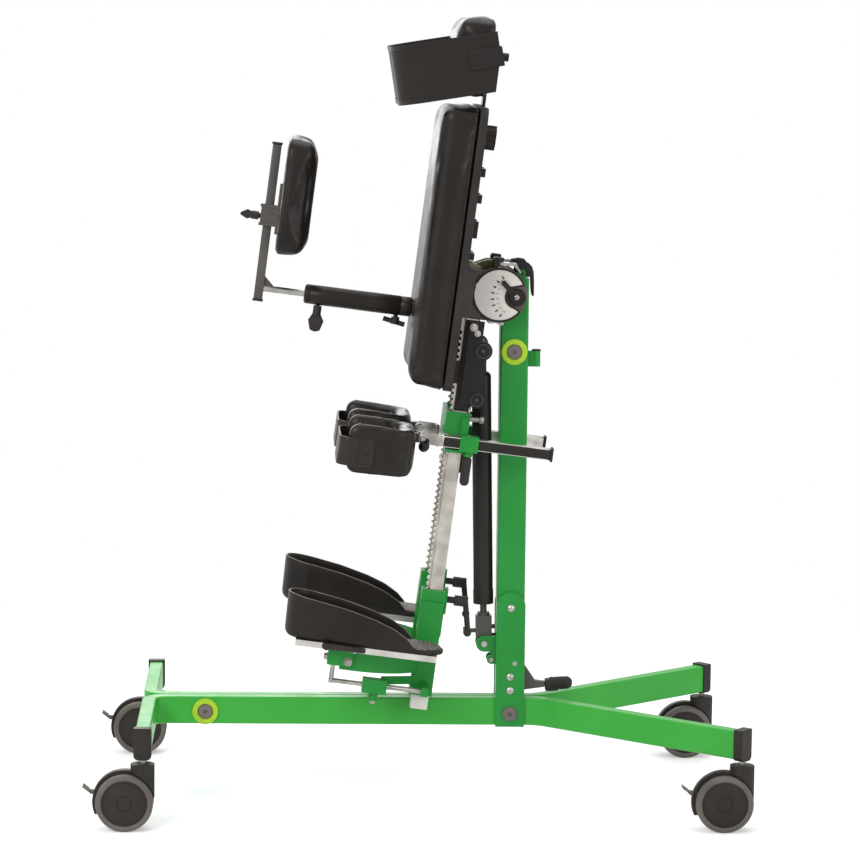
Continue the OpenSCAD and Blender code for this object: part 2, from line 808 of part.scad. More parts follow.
// Moulded shell that carries the trunk cushion, with stiffening ribs across its back
module board_shell() {
  difference() {
    union() {
      translate([cushion_back, 0, (trunk_low + trunk_high) / 2]) rotate([90, 0, 90])
        linear_extrude(shell_t) rounded_rect(2 * trunk_half - 4, trunk_high - trunk_low - 4, 30);
      for (r = rib_marks)
        block(shell_back - 1, shell_back + rib_d, -rib_half, rib_half, r[0] - r[1] / 2, r[0] + r[1] / 2);
      both_sides() block(shell_back - 1, spine_front, -spine_y - spine_w / 2, -spine_y - rack_t / 2 - 1,
        trunk_low + 10, trunk_low + 50);
      translate([0, 0, arm_w]) rod_x(20, shell_back - 1, shell_back + 10);
    }
    translate([0, 0, arm_w]) rod_x(tube_r + 0.1, -trunk_front, shell_back + 6);
    block(shell_back - post_t, 0, -post_half - slide_gap, post_half + slide_gap, post_low - 1, trunk_high);
    translate([0, 0, knob_w]) rod_x(5, -trunk_front, 0);
  }
}

// Trunk cushion: crowned front, round edges, with a hole for the back support arm
module trunk_cushion() {
  difference() {
    translate([cushion_back, 0, (trunk_low + trunk_high) / 2]) rotate([90, 0, -90])
      pad(trunk_half, (trunk_high - trunk_low) / 2, trunk_t - trunk_crown, 16, trunk_crown, 0, 2, 48);
    translate([0, 0, arm_w]) rod_x(tube_r + 0.4, -2 * trunk_front, 0);
  }
}

trunk_crown = 5;

// Two tilt heads: round housings on the axle that hold the tops of the spine tubes
module tilt_heads() {
  both_sides() difference() {
    side_profile(-head_out, -head_in) {
      translate([dial_u, 0]) circle(dial_r);
      translate([shell_back, head_low]) square([dial_u - shell_back - 16, head_high - head_low]);
      translate([dial_u - 32, -head_high + 4]) square([20, 2 * head_high - 8]);
    }
    rod_y(axle_d / 2 + run_gap, -mast - mast, 0);
  }
  both_sides() block(shell_back, dial_u - plate_r - 1, -sleeve_out, -head_out, head_low, head_high - 6);
}

mark_count = 8;
mark_step = 15;

// Pale plate of the angle scale, with a notch round the hub and a row of slots for its marks
module dial_plate() {
  side_profile(-head_out - 1.6, -head_out) difference() {
    translate([dial_u, 0]) circle(plate_r);
    circle(20);
    rotate(7) polygon([[0, 0], [-10.8, 18.6], [40, 28], [40, -56], [-12.6, -13.3]]);
    for (i = [0:mark_count - 1]) rotate(pointer_angle + mark_step * i)
      translate([40, -0.9]) square([6, 1.8]);
  }
}

lever_pin = [12, 946];
lever_pin_r = 3;
lever_half = 9;

// Curved release lever on the mast's head, with its own pin in two small cheeks
module tilt_lever() {
  translate([lever_pin[0], 0, lever_pin[1]]) {
    rod_y(lever_pin_r, -lever_half - 5, lever_half + 5);
    side_profile(-lever_half, lever_half) {
      circle(8);
      polygon([[-8, 0], [-19, 9], [-20, 15], [-16, 22], [-9, 26], [0, 28], [9, 25], [16, 18],
        [20, 9], [22, -6], [22.5, -16], [18, -16], [15, 4], [8, 0]]);
    }
    side_profile(-lever_half + 2, lever_half - 2)
      polygon([[17, -8], [22, -8], [23, -26], [23, -40], [20, -43], [17, -40]]);
  }
}

post_half = 20;
post_t = 6;
post_low = 120;
post_high = 440;
chest_low = 348;
slot_half = 5.4;
knob_w = 272;

// Flat post that carries the chest pad and slides in the back of the shell, with the belt's
// clamp and steel stud at its upper end and the webbing that runs from there to the belt
module chest_post() {
  difference() {
    block(shell_back - post_t + 0.1, shell_back - 0.1, -post_half, post_half, post_low, post_high);
    block(-trunk_front, 0, -slot_half, slot_half, knob_w - 135, knob_w + 12);
  }
  translate([0, 0, buckle_w]) {
    block(shell_back - 1, shell_back + 3, -26, 26, -22, 22);
    block(shell_back + 2, shell_back + 13, -24, 24, -19, 19);
    rod_x(7.5, shell_back + 12, shell_back + 31);
    both_sides() block(shell_back + 4, shell_back + 7, -belt_y, -23, -16, 16);
  }
}

buckle_w = 417;

// Chest pad, crowned in front, on the upper end of the post
module chest_pad() {
  translate([shell_back - post_t, 0, chest_low + chest_h / 2]) rotate([90, 0, -90])
    pad(chest_half, chest_h / 2, chest_t - 4, 14, 4, 0, 2, 48);
  block(shell_back - 42, shell_back - 28, -18, 18, chest_low + chest_h - 3, chest_low + chest_h + 9);
}

belt_t = 4;
belt_y = chest_half + 3;
belt_anchor = [shell_back + 10, 411];

// Wide belt round the user's back, in a loop from behind the chest pad
module chest_belt() {
  translate([belt_anchor[0], 0, belt_anchor[1]]) rotate([0, -belt_droop, 0])
    linear_extrude(belt_h, center = true) belt_outline(belt_reach, belt_y, belt_t, 60);
}

// Band in plan: open at U = 0, closed by two round corners at U = -reach
module belt_outline(reach, half, t, corner) {
  difference() {
    belt_shape(reach, half + t, corner);
    translate([1, 0]) belt_shape(reach - t + 1, half, corner - t);
  }
}

module belt_shape(reach, half, corner) {
  translate([-reach + corner, -half]) square([reach - corner, 2 * half]);
  translate([-reach, -half + corner]) square([corner + 1, 2 * half - 2 * corner]);
  for (s = [-1, 1]) translate([-reach + corner, s * (half - corner)]) circle(corner);
}

knob_r = 22;

// Star knob that locks the chest post, on a screw through the post's slot
module chest_knob() {
  translate([0, 0, knob_w]) {
    rod_x(4.6, cushion_back + 2, shell_back + 3);
    rod_x(14, shell_back + 0.2, shell_back + 6);
    difference() {
      rod_x(knob_r, shell_back + 6, shell_back + 27);
      for (i = [0:5]) rotate([60 * i + 30, 0, 0])
        translate([shell_back, 0, knob_r + 4]) rod_x(8, 0, 30);
    }
  }
}

tube_r = 9.5;
tube_end = trunk_front + sleeve_len - 3;

// Steel tube that is fixed in the shell and guides the sliding rod
module arm_tube() {
  translate([0, 0, arm_w]) difference() {
    rod_x(tube_r, -tube_end, shell_back + 5.9);
    rod_x(rod_d / 2 + run_gap, -tube_end - 1, shell_back - 6);
    translate([lock_u, 0, 0]) rod_z(4.1, -20, 0);
    translate([knob_u, 0, 0]) rod_z(4.1, -20, 0);
  }
}

lock_u = -trunk_front - 28;
knob_u = -trunk_front - sleeve_len + 27;

// Padded sleeve on the guide tube, with a ring seam at each end
module arm_sleeve() {
  translate([0, 0, arm_w]) difference() {
    rotate([0, 90, 0]) translate([0, 0, -trunk_front - sleeve_len]) rotate_extrude() sleeve_profile();
    translate([lock_u, 0, 0]) rod_z(5.5, -sleeve_d, 0);
    translate([knob_u, 0, 0]) rod_z(5.5, -sleeve_d, 0);
  }
}

module sleeve_profile() {
  edge = 4;
  difference() {
    union() {
      translate([tube_r + 0.1, edge]) square([sleeve_d / 2 - tube_r - 0.1, sleeve_len - 2 * edge - 1]);
      translate([tube_r + 0.1, 0]) square([sleeve_d / 2 - tube_r - edge - 0.1, sleeve_len - 1]);
      for (z = [edge, sleeve_len - edge - 1]) translate([sleeve_d / 2 - edge, z]) circle(edge);
    }
    square([tube_r + 0.1, sleeve_len]);
  }
}

upright_u = -455;
rod_end = -170;
gusset = 22;

// Sliding rod with a welded upright, a gusset in the corner and two end caps
module arm_rod() {
  translate([0, 0, arm_w]) rod_x(rod_d / 2, upright_u, rod_end);
  low = arm_w - 20;
  block(upright_u - upright / 2, upright_u + upright / 2, -upright / 2, upright / 2, low, low + upright_len);
  for (z = [low - 4, low + upright_len])
    block(upright_u - upright / 2 - 1.5, upright_u + upright / 2 + 1.5,
      -upright / 2 - 1.5, upright / 2 + 1.5, z, z + 4);
  side_profile(-3, 3) polygon([[upright_u, arm_w], [upright_u + upright / 2 + gusset, arm_w],
    [upright_u + upright / 2, arm_w + gusset], [upright_u, arm_w + gusset]]);
}

// Clamp lever below the sleeve whose bolt presses on the rod
module arm_lever() {
  translate([lock_u, 0, arm_w]) {
    rod_z(4, -24, -rod_d / 2 - 1);
    rod_z(7.5, -34, -21);
    translate([0, 0, -30]) rotate([0, 10, 0]) rod_x(4.5, -22, 18);
  }
}

// Wing knob below the far end of the sleeve
module arm_knob() {
  translate([knob_u, 0, arm_w]) {
    rod_z(4, -24, -rod_d / 2 - 1);
    rod_z(7.5, -36, -19);
    side_profile(-4, 4)
      polygon([[-7, -33], [-14, -46], [-9, -63], [0, -66], [9, -63], [14, -46], [7, -33]]);
  }
}

clamp_low = 66;
clamp_high = 105;
pad_back = -436;

// Clamp that slides on the upright and carries the back pad
module back_clamp() {
  u = upright_u;
  difference() {
    union() {
      block(u - 14, u + 14, -13, 13, clamp_low, clamp_high);
      block(u - 16, u + 15, -14.5, 14.5, clamp_low, clamp_low + 5);
      block(u - 16, u + 15, -14.5, 14.5, clamp_high - 6, clamp_high);
    }
    block(u - upright / 2 - 0.3, u + upright / 2 + 0.3, -upright / 2 - 0.3, upright / 2 + 0.3, 0, 200);
    translate([0, 0, knob_z]) rod_x(4.6, u - 20, u);
  }
  block(u + 14, pad_back, -30, 30, clamp_low - 12, clamp_high + 40);
}

knob_z = 82;

// Back pad, crowned on the side that faces the user
module back_pad() {
  translate([pad_back, 0, knob_z + 45]) rotate([90, 0, 90])
    pad(back_half, back_h / 2, back_t - 3, 15, 6, 0, 2, 48);
}

// Wing knob whose screw presses on the upright
module back_knob() {
  translate([upright_u, 0, knob_z]) {
    rod_x(4.5, -24, -upright / 2 - 0.4);
    rod_x(7.5, -30, -17);
    side_profile(-4, 4) polygon([[-28, 5], [-38, 9], [-50, 2], [-50, -2], [-38, -8], [-28, -5]]);
  }
}

carriage_low = -256;
carriage_high = -216;
bar_u = -99;
bar_socket_low = -67;
bar_socket_high = -34;
socket_wall = 4;

// Carriage that slides on the spine tubes and holds a socket for each knee bar
module knee_carriage() {
  half = knee_bar / 2;
  difference() {
    union() {
      both_sides() {
        block(sleeve_front - sleeve_wall, sleeve_back + sleeve_wall, -sleeve_out - sleeve_wall,
          -sleeve_in + sleeve_wall, carriage_low, carriage_high);
        block(bar_socket_low, bar_socket_high, -knee_bar_y - half - socket_wall,
          -knee_bar_y + half + socket_wall, knee_w - half - socket_wall, knee_w + half + socket_wall);
        block(bar_socket_low, sleeve_back + sleeve_wall, -sleeve_out - sleeve_wall - 6, -sleeve_out,
          knee_w - half - socket_wall, carriage_high - 8);
        block(-92, -60, -knee_bar_y - 9, -sleeve_out - 2, knee_w - half - socket_wall - 4,
          knee_w - half - socket_wall + 1);
        translate([-50, -knee_bar_y, 0]) rod_z(8, knee_w - half - socket_wall - 9, knee_w - half - socket_wall + 1);
      }
      block(sleeve_front - sleeve_wall, sleeve_front, -sleeve_in, sleeve_in, carriage_low, carriage_high);
      both_sides() translate([0, -spine_y + 9, carriage_high - 12]) {
        rod_x(4.5, sleeve_back + sleeve_wall - 1, -32);
        rod_x(7, -34, -27);
      }
    }
    both_sides() {
      block(sleeve_front, sleeve_back, -sleeve_out, -sleeve_in, carriage_low - 60, carriage_high + 1);
      block(-200, 0, -knee_bar_y - half - bar_gap, -knee_bar_y + half + bar_gap,
        knee_w - half - bar_gap, knee_w + half + bar_gap);
      translate([-50, -knee_bar_y, 0]) rod_z(3.6, knee_w - half - socket_wall - 20, knee_w - half);
    }
  }
}

bar_gap = 0.3;
cup_pin_u = -133;
cup_pin_r = 5;
cup_back = -150;
ear_half = 8;

// Square knee bar with an end cap, and a steel fork in front with the pin of the knee cup
module knee_bar(side) {
  half = knee_bar / 2;
  on_side(side) translate([0, -knee_bar_y, knee_w]) {
    difference() {
      block(bar_u, bar_u + knee_bar_len - 0.1, -half, half, -half, half);
      block(bar_u + 4, bar_u + knee_bar_len + 1, -half + 2, half - 2, -half + 2, half - 2);
    }
    block(bar_u + knee_bar_len, bar_u + knee_bar_len + 4, -half - 2.5, half + 2.5, -half - 2.5, half + 2.5);
    for (s = [-1, 1]) side_profile(s * (ear_half + 2) - 1.7, s * (ear_half + 2) + 1.7) {
      translate([cup_pin_u, 0]) circle(9);
      translate([cup_pin_u, -9]) square([bar_u - cup_pin_u - 4, 18]);
    }
    block(bar_u - 5, bar_u + 1, -ear_half - 3.7, ear_half + 3.7, -9, 9);
    translate([cup_pin_u, 0, 0]) rod_y(cup_pin_r, -ear_half - 9, ear_half + 5);
    translate([cup_pin_u + 9, -ear_half - 9, -13]) sphere(7.5);
  }
}

// Locking knob below the socket of a knee bar, a long handle on a screw
module knee_knob(side) {
  low = knee_w - knee_bar / 2 - socket_wall;
  on_side(side) translate([-50, -knee_bar_y, 0]) {
    rod_z(3.5, low - 14, low + socket_wall - 0.6);
    rod_z(7, low - 14, low - 10.5);
    rod_z(8.5, low - 53, low - 13);
    translate([0, 0, low - 53]) sphere(8.5);
  }
}

cup_corner = 24;
cup_n = 20;
cup_base_half = knee_gap / 2 + wing_t / 2 - cup_corner;
cup_bend_u = -wing_t / 2 - cup_corner;

// Stations along the cup in plan: place, outward direction, and scales of thickness and height
function cup_wing(s, list) = [for (k = list)
  [[-wing_len + k[0], s * (knee_gap / 2 + wing_t / 2)], [0, s], k[1], k[2]]];
function cup_bend(s, list) = [for (a = list)
  [[cup_bend_u + cup_corner * cos(a), s * cup_base_half + cup_corner * sin(a)], [cos(a), sin(a)],
   abs(a) > 40 && abs(a) < 50 ? 0.8 : 1, 0.97]];
function cup_base(list) = [for (k = list)
  [[-wing_t / 2, k * cup_base_half], [1, 0], k == 0 ? 0.84 : 1.04, 0.92]];

cup_tip = [[0, 0.45, 0.6], [3, 0.78, 0.84], [9, 0.95, 0.96], [24, 1, 1], [44, 1.05, 1], [60, 0.82, 0.97],
  [76, 1.05, 1]];
cup_tip_back = [for (i = [len(cup_tip) - 1:-1:0]) cup_tip[i]];
cup_path = concat(cup_wing(-1, cup_tip), cup_bend(-1, [-90, -68, -45, -22]),
  cup_base([-1, -0.6, -0.12, 0, 0.12, 0.6, 1]), cup_bend(1, [22, 45, 68, 90]), cup_wing(1, cup_tip_back));

// One ring of the cup's padding round a station, with soft corners
function cup_ring(k) = [for (i = [0:cup_n - 1])
  let (a = -360 * (i + 0.5) / cup_n,
    across = sign(cos(a)) * pow(abs(cos(a)), 0.5) * wing_t / 2 * k[2],
    up = sign(sin(a)) * pow(abs(sin(a)), 0.5) * wing_h / 2 * k[3])
  [k[0][0] + k[1][0] * across, k[0][1] + k[1][1] * across, up]];

// Knee cup: padding bent round the knee, and a plate behind it with a lug on the bar's pin
module knee_cup(side) {
  rings = len(cup_path);
  tip = wing_len + 1.5;
  mid = knee_gap / 2 + wing_t / 2;
  on_side(side) {
    translate([cup_back, -knee_y, knee_w - 30])
      polyhedron(concat([for (k = cup_path) each cup_ring(k)], [[-tip, -mid, 0], [-tip, mid, 0]]),
        skin_faces(rings, cup_n));
    difference() {
      union() {
        block(cup_back - 8, cup_back + 5, -knee_y - 8, -knee_y + 34, knee_w - 54, knee_w - 3);
        block(cup_back + 2, cup_pin_u, -knee_bar_y - ear_half + 0.3, -knee_bar_y + ear_half - 0.3,
          knee_w - 8, knee_w + 8);
        translate([cup_pin_u, -knee_bar_y, knee_w]) rod_y(8, -ear_half + 0.3, ear_half - 0.3);
      }
      translate([cup_pin_u, -knee_bar_y, knee_w]) rod_y(cup_pin_r + run_gap, -20, 20);
    }
  }
}

// Strap that closes a knee cup behind the knee
module knee_strap(side) {
  reach = wing_len + 12;
  half = knee_gap / 2 + wing_t + 1.2;
  on_side(side) translate([cup_back, -knee_y, knee_w - 36]) difference() {
    linear_extrude(52, center = true) belt_outline(reach, half, 3, 20);
    block(-reach + 62, 10, -half - 10, half + 10, -60, 60);
  }
}

bracket_low = -622;
bracket_high = -540;
hanger_low = -731;
rod_w = -715;
arm_a = [-88, -72];
arm_b = [-229, -138];
arm_bulge = 25;
foot_block_top = foot_w - 3.6;

// Centre and radius of the arc through two points with a given bulge
function arc_radius(a, b, s) = (norm(b - a) * norm(b - a) / 4 + s * s) / (2 * s);
function arc_normal(a, b) = [-(b - a)[1], (b - a)[0]] / norm(b - a);
function arc_centre(a, b, s) = (a + b) / 2 - arc_normal(a, b) * (arc_radius(a, b, s) - s);

// Foot bracket: a clamp on the spine tube, a hanger, a curved arm and the adjusting rod
module foot_bracket(side) {
  centre = arc_centre(arm_a, arm_b, arm_bulge);
  r = arc_radius(arm_a, arm_b, arm_bulge);
  start = atan2(arm_b[1] - centre[1], arm_b[0] - centre[0]);
  end = atan2(arm_a[1] - centre[1], arm_a[0] - centre[0]);
  foot_side(side) {
    difference() {
      union() {
        block(sleeve_front - sleeve_wall, sleeve_back + sleeve_wall, -sleeve_out - sleeve_wall,
          -sleeve_in + sleeve_wall, bracket_low, bracket_high);
        block(sleeve_front - sleeve_wall, sleeve_back + 4, -sleeve_out - sleeve_wall - hanger_t,
          -sleeve_out - sleeve_wall + 0.5, hanger_low, bracket_high - 20);
        block(sleeve_back + sleeve_wall - 1, sleeve_back + sleeve_wall + 4, -spine_y - 9,
          -spine_y + 9, bracket_high - 42, bracket_high + 5);
      }
      block(sleeve_front, sleeve_back, -sleeve_out, -sleeve_in, bracket_low - 10, bracket_high + 10);
      translate([0, -spine_y, bracket_high - 16]) rod_x(4.1, -70, 0);
    }
    translate([centre[0], centre[1], foot_w - 51]) rotate([0, 0, start])
      rotate_extrude(angle = end - start) translate([r - 3, 0]) square([6, 32]);
    block(-252, -208, -foot_y - 16, -foot_y + 26, foot_w - 43, foot_block_top);
    translate([-229, -foot_y, 0]) rod_z(5, foot_block_top - 2, foot_w - 0.5);
    translate([-240, -118, 0]) rod_z(adjuster_d / 2, rod_w, foot_w - 42);
    translate([-240, -118, rod_w]) sphere(adjuster_d / 2);
    translate([0, -118, rod_w]) rod_x(adjuster_d / 2, -240, -70);
    block(-184, -140, -131, -106, rod_w - 13, rod_w + 12);
    translate([-162, -118, 0]) rod_z(8, rod_w - 27, rod_w - 12);
    block(-78, -66, -127, -sleeve_out - sleeve_wall - 2, rod_w - 8, rod_w + 8);
    side_bar([-150, -114], [-90, -73]);
  }
}

hanger_t = 7;

// Short flat bar from the rod clamp to the hanger
module side_bar(a, b) {
  translate([a[0], a[1], rod_w + 3]) rotate([0, 0, atan2(b[1] - a[1], b[0] - a[0])])
    translate([0, -3, 0]) cube([norm(b - a), 6, 14]);
}

// Places foot parts on a side, with the far foot a little higher as it stands
module foot_side(side) {
  on_side(side) translate([0, 0, side == "far" ? far_lift : 0]) children();
}

plate_low_u = -313;
plate_high_u = -62;
plate_thick = 3;
plate_edge = 11;

// Alloy foot plate with turned-down edges and a side latch, that turns on the bracket's pin
module foot_plate(side) {
  foot_side(side) difference() {
    union() {
      block(plate_low_u, plate_high_u, -foot_y - sole_wide / 2 + 3, -foot_y + sole_wide / 2 - 3,
        foot_w - plate_edge, foot_w);
      block(-263, -191, -foot_y - sole_wide / 2 - 1, -foot_y - sole_wide / 2 + 4, foot_w - 9, foot_w - 1);
    }
    block(plate_low_u - 1, plate_high_u + 1, -foot_y - sole_wide / 2 + 6, -foot_y + sole_wide / 2 - 6,
      foot_w - plate_edge - 1, foot_w - plate_thick);
    translate([-229, -foot_y, 0]) rod_z(5 + run_gap, foot_w - 20, foot_w + 1);
  }
}

sole_back = -332;
sole_t = 10;
heel_r = 44;
toe_r = 47;
heel_high = 79;
wall_t = 4;

// Sandal: a flat sole with a heel cup whose walls fall away towards the toes
module sandal(side) {
  foot_side(side) {
    difference() {
      translate([0, -foot_y, foot_w]) linear_extrude(sole_t) sole_outline(0);
      translate([-229, -foot_y, 0]) rod_z(5.5, foot_w - 1, foot_w + 4);
    }
    intersection() {
      translate([0, -foot_y, foot_w + sole_t - 1]) linear_extrude(heel_high) difference() {
        sole_outline(0);
        sole_outline(wall_t);
      }
      side_profile(-foot_y - sole_wide, -foot_y + sole_wide) sandal_side();
    }
  }
}

module sole_outline(d) {
  translate([sole_back + heel_r, 0]) circle(heel_r - d);
  translate([sole_back + sole_len - toe_r, 0]) circle(toe_r - d);
  polygon([[sole_back + heel_r, -heel_r + d], [sole_back + sole_len - toe_r, -toe_r + d],
    [sole_back + sole_len - toe_r, toe_r - d], [sole_back + heel_r, heel_r - d]]);
}

module sandal_side() {
  translate([0, foot_w]) polygon([[sole_back - 5, 0], [sole_back - 5, heel_high],
    [sole_back + 107, 65], [sole_back + 172, 42], [sole_back + 228, 22], [sole_back + 236, 0]]);
}

lever_w = bracket_high - 16;

// Clamp lever on the back of a foot bracket, on its screw
module foot_lever(side) {
  foot_side(side) translate([0, -spine_y, lever_w]) {
    rod_x(4, sleeve_back + 1, -35);
    rod_x(6, sleeve_back + sleeve_wall + 4.3, -36);
    rod_x(9.5, -36, -12);
    translate([-16, 0, 0]) rotate([0, -12, 0]) rod_z(5, -52, 0);
    translate([-5, 0, -56]) sphere(7);
  }
}

placed() color(green) rail("near");  // rail_near
placed() color(green) rail("far");  // rail_far
placed() color(black) at_leg_ends() leg_end_cap();  // leg_end_caps
placed() color(green) mast_tube();
placed() color(green) mast_plates();
placed() color(zinc) frame_pins();
placed() color(lime) ring_caps();
placed() color(grey) ring_plugs();
placed() color(black) angle_pointer();
placed() color(grey) foot_pedal();
placed() color(black) pedal_grip();
placed() color(black) tilt_lever();
at_castor("front", "near") color(black) castor_fork();  // castor_front_near_fork
at_castor("front", "near") color(grey) castor_wheels();  // castor_front_near_wheels
at_castor("front", "near") color(grey) castor_brake();  // castor_front_near_brake
at_castor("front", "far") color(black) castor_fork();  // castor_front_far_fork
at_castor("front", "far") color(grey) castor_wheels();  // castor_front_far_wheels
at_castor("front", "far") color(grey) castor_brake();  // castor_front_far_brake
at_castor("rear", "near") color(black) castor_fork();  // castor_rear_near_fork
at_castor("rear", "near") color(grey) castor_wheels();  // castor_rear_near_wheels
at_castor("rear", "near") color(grey) castor_brake();  // castor_rear_near_brake
at_castor("rear", "far") color(black) castor_fork();  // castor_rear_far_fork
at_castor("rear", "far") color(grey) castor_wheels();  // castor_rear_far_wheels
at_castor("rear", "far") color(grey) castor_brake();  // castor_rear_far_brake
along_strut() color(grey) strut_rod();
along_strut() color(black) strut_cylinder();
leaned() color(black) strut_bracket();
leaned() color(steel) board_tubes();
leaned() color(black) board_shell();
leaned() color(vinyl) trunk_cushion();
leaned() color(grey) tilt_heads();
leaned() color(zinc) dial_plate();
leaned() color(black) chest_post();
leaned() color(vinyl) chest_pad();
leaned() color(black) chest_belt();
leaned() color(black) chest_knob();
leaned() color(vinyl) arm_sleeve();
leaned() color(grey) arm_rod();
leaned() color(black) arm_lever();
leaned() color(black) arm_knob();
leaned() color(grey) back_clamp();
leaned() color(vinyl) back_pad();
leaned() color(black) back_knob();
leaned() color(green) knee_carriage();
leaned() color(black) knee_knob("near");  // knee_knob_near
leaned() color(black) knee_knob("far");  // knee_knob_far
leaned() color(black) foot_lever("near");  // foot_lever_near
leaned() color(black) foot_lever("far");  // foot_lever_far
leaned() color(black) knee_bar("near");  // knee_bar_near
leaned() color(black) knee_bar("far");  // knee_bar_far
leaned() color(vinyl) knee_cup("near");  // knee_cup_near
leaned() color(vinyl) knee_cup("far");  // knee_cup_far
leaned() color(black) knee_strap("near");  // knee_strap_near
leaned() color(black) knee_strap("far");  // knee_strap_far
leaned() color(green) foot_bracket("near");  // foot_bracket_near
leaned() color(green) foot_bracket("far");  // foot_bracket_far
leaned() color(zinc) foot_plate("near");  // foot_plate_near
leaned() color(zinc) foot_plate("far");  // foot_plate_far
leaned() color(black) sandal("near");  // sandal_near
leaned() color(black) sandal("far");  // sandal_far
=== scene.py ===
# %% [markdown]
# # A prone standing frame
# The CAD model gives every hard piece its shape and place. This script dresses it: it gives
# each surface the finish of the real material, and models the upholstery, the belts, the
# sandals and the small trim, which depend on softness and on fine detail.

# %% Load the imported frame
import math
import random
import bmesh
import bpy
from mathutils import Matrix, Vector


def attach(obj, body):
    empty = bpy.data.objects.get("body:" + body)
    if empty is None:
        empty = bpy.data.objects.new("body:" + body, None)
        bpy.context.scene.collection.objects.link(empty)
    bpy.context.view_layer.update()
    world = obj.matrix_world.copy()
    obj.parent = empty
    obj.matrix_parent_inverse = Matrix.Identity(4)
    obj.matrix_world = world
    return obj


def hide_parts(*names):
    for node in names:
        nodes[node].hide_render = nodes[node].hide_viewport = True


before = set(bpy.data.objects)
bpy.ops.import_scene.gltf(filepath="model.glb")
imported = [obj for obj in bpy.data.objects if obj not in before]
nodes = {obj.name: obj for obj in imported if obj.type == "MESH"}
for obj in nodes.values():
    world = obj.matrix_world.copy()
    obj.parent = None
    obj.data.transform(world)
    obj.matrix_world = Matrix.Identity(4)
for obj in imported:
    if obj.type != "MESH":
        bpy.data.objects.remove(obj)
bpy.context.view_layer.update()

# %% [markdown]
# The source is drawn in millimetres, with the mast's middle at X = 0 and the floor at Z = 0.
# The board is drawn along U (forward), Y and W (up) from the tilt axle, and leans 7 degrees.
# Two matrices take those drawings to Blender's metres, so each piece uses the real sizes.

# %% Places of the frame and of the board
MM = 0.001
MAST_X = 174.25
AXLE_Z = 907
LEAN = math.radians(7)
FRAME = Matrix.Scale(MM, 4) @ Matrix.Translation((MAST_X, 0, 0))
BOARD = (Matrix.Scale(MM, 4) @ Matrix.Translation((MAST_X, 0, AXLE_Z))
         @ Matrix.Rotation(LEAN, 4, "Y"))
SIDES = {"near": -1, "far": 1}
scene = bpy.context.scene
print("board leans", round(math.degrees(LEAN)), "degrees about", (MAST_X, 0, AXLE_Z))

# %% [markdown]
# The camera stands about six metres to the side and looks slightly down, as the photograph
# was taken. The long lens and the small shift give the photograph's framing.

# %% Camera
FOCAL = 3349.62
PRINCIPAL = (320.36, 410.70)
PICTURE = 860
YAW, PITCH, ROLL = 0.009, 0.1194, 0.0068  # radians
CAMERA_AT = (-0.22575, -5.98295, 1.413)


def camera_axes():
    ahead = Vector((math.sin(YAW) * math.cos(PITCH), math.cos(YAW) * math.cos(PITCH),
                    -math.sin(PITCH)))
    right = Vector((math.cos(YAW), -math.sin(YAW), 0))
    up = right.cross(ahead)
    turned_right = right * math.cos(ROLL) + up * math.sin(ROLL)
    turned_up = -right * math.sin(ROLL) + up * math.cos(ROLL)
    return turned_right, turned_up, -ahead


camera_data = bpy.data.cameras.new("camera")
camera_data.sensor_width = 36
camera_data.lens = FOCAL / PICTURE * camera_data.sensor_width
camera_data.shift_x = (PICTURE / 2 - PRINCIPAL[0]) / PICTURE
camera_data.shift_y = (PRINCIPAL[1] - PICTURE / 2) / PICTURE
camera_data.clip_end = 100
camera = bpy.data.objects.new("camera", camera_data)
axes = Matrix(camera_axes()).transposed().to_4x4()
camera.matrix_world = Matrix.Translation(CAMERA_AT) @ axes
scene.collection.objects.link(camera)
scene.camera = camera
scene.view_settings.view_transform = "Standard"
print("lens", round(camera_data.lens, 2))

# %% [markdown]
# Light and looks are graphs of nodes. Every node has inputs and settings, so one function
# adds any kind of node and sets or links them. Colours are written as they look on a screen.


# %% One function adds a node
def add(tree, kind, settings=None, **links):
    """Adds a node. Links name an input, or i0, i1 by number, and give a socket or a value."""
    made = tree.nodes.new(kind)
    for key, value in (settings or {}).items():
        setattr(made, key, value)
    for key, value in links.items():
        numbered = key[0] == "i" and key[1:].isdigit()
        socket = made.inputs[int(key[1:])] if numbered else made.inputs[key.replace("_", " ")]
        if isinstance(value, bpy.types.NodeSocket):
            tree.links.new(value, socket)
        else:
            socket.default_value = value
    return made


def linear(hex_text):
    """A colour written as sRGB hex, as the linear values that the shaders use."""
    parts = [int(hex_text[i:i + 2], 16) / 255 for i in (1, 3, 5)]
    return [*[c / 12.92 if c <= 0.04045 else ((c + 0.055) / 1.055) ** 2.4 for c in parts], 1]


print("mid grey is", round(linear("#808080")[0], 3), "in linear light")

# %% [markdown]
# The light is that of a white studio: an even white surround, and large soft lamps in front,
# above and to the left. The surround shows as pure white to the camera and in reflections,
# and gives the surfaces about half of their light.

# %% World and lamps
SURROUND = 0.42
world = bpy.data.worlds.new("white_studio")
scene.world = world
world.use_nodes = True
sky = world.node_tree
sky.nodes.clear()
path = add(sky, "ShaderNodeLightPath")
seen = add(sky, "ShaderNodeMath", {"operation": "MAXIMUM"}, i0=path.outputs["Is Camera Ray"],
           i1=path.outputs["Is Glossy Ray"])
seen = add(sky, "ShaderNodeMath", {"operation": "MAXIMUM"}, i0=seen.outputs[0],
           i1=path.outputs["Is Transmission Ray"])
level = add(sky, "ShaderNodeMix", {"data_type": "FLOAT"}, i0=seen.outputs[0],
            i2=SURROUND, i3=1.0)
back = add(sky, "ShaderNodeBackground", Color=(1, 1, 1, 1), Strength=level.outputs[0])
add(sky, "ShaderNodeOutputWorld", Surface=back.outputs[0])


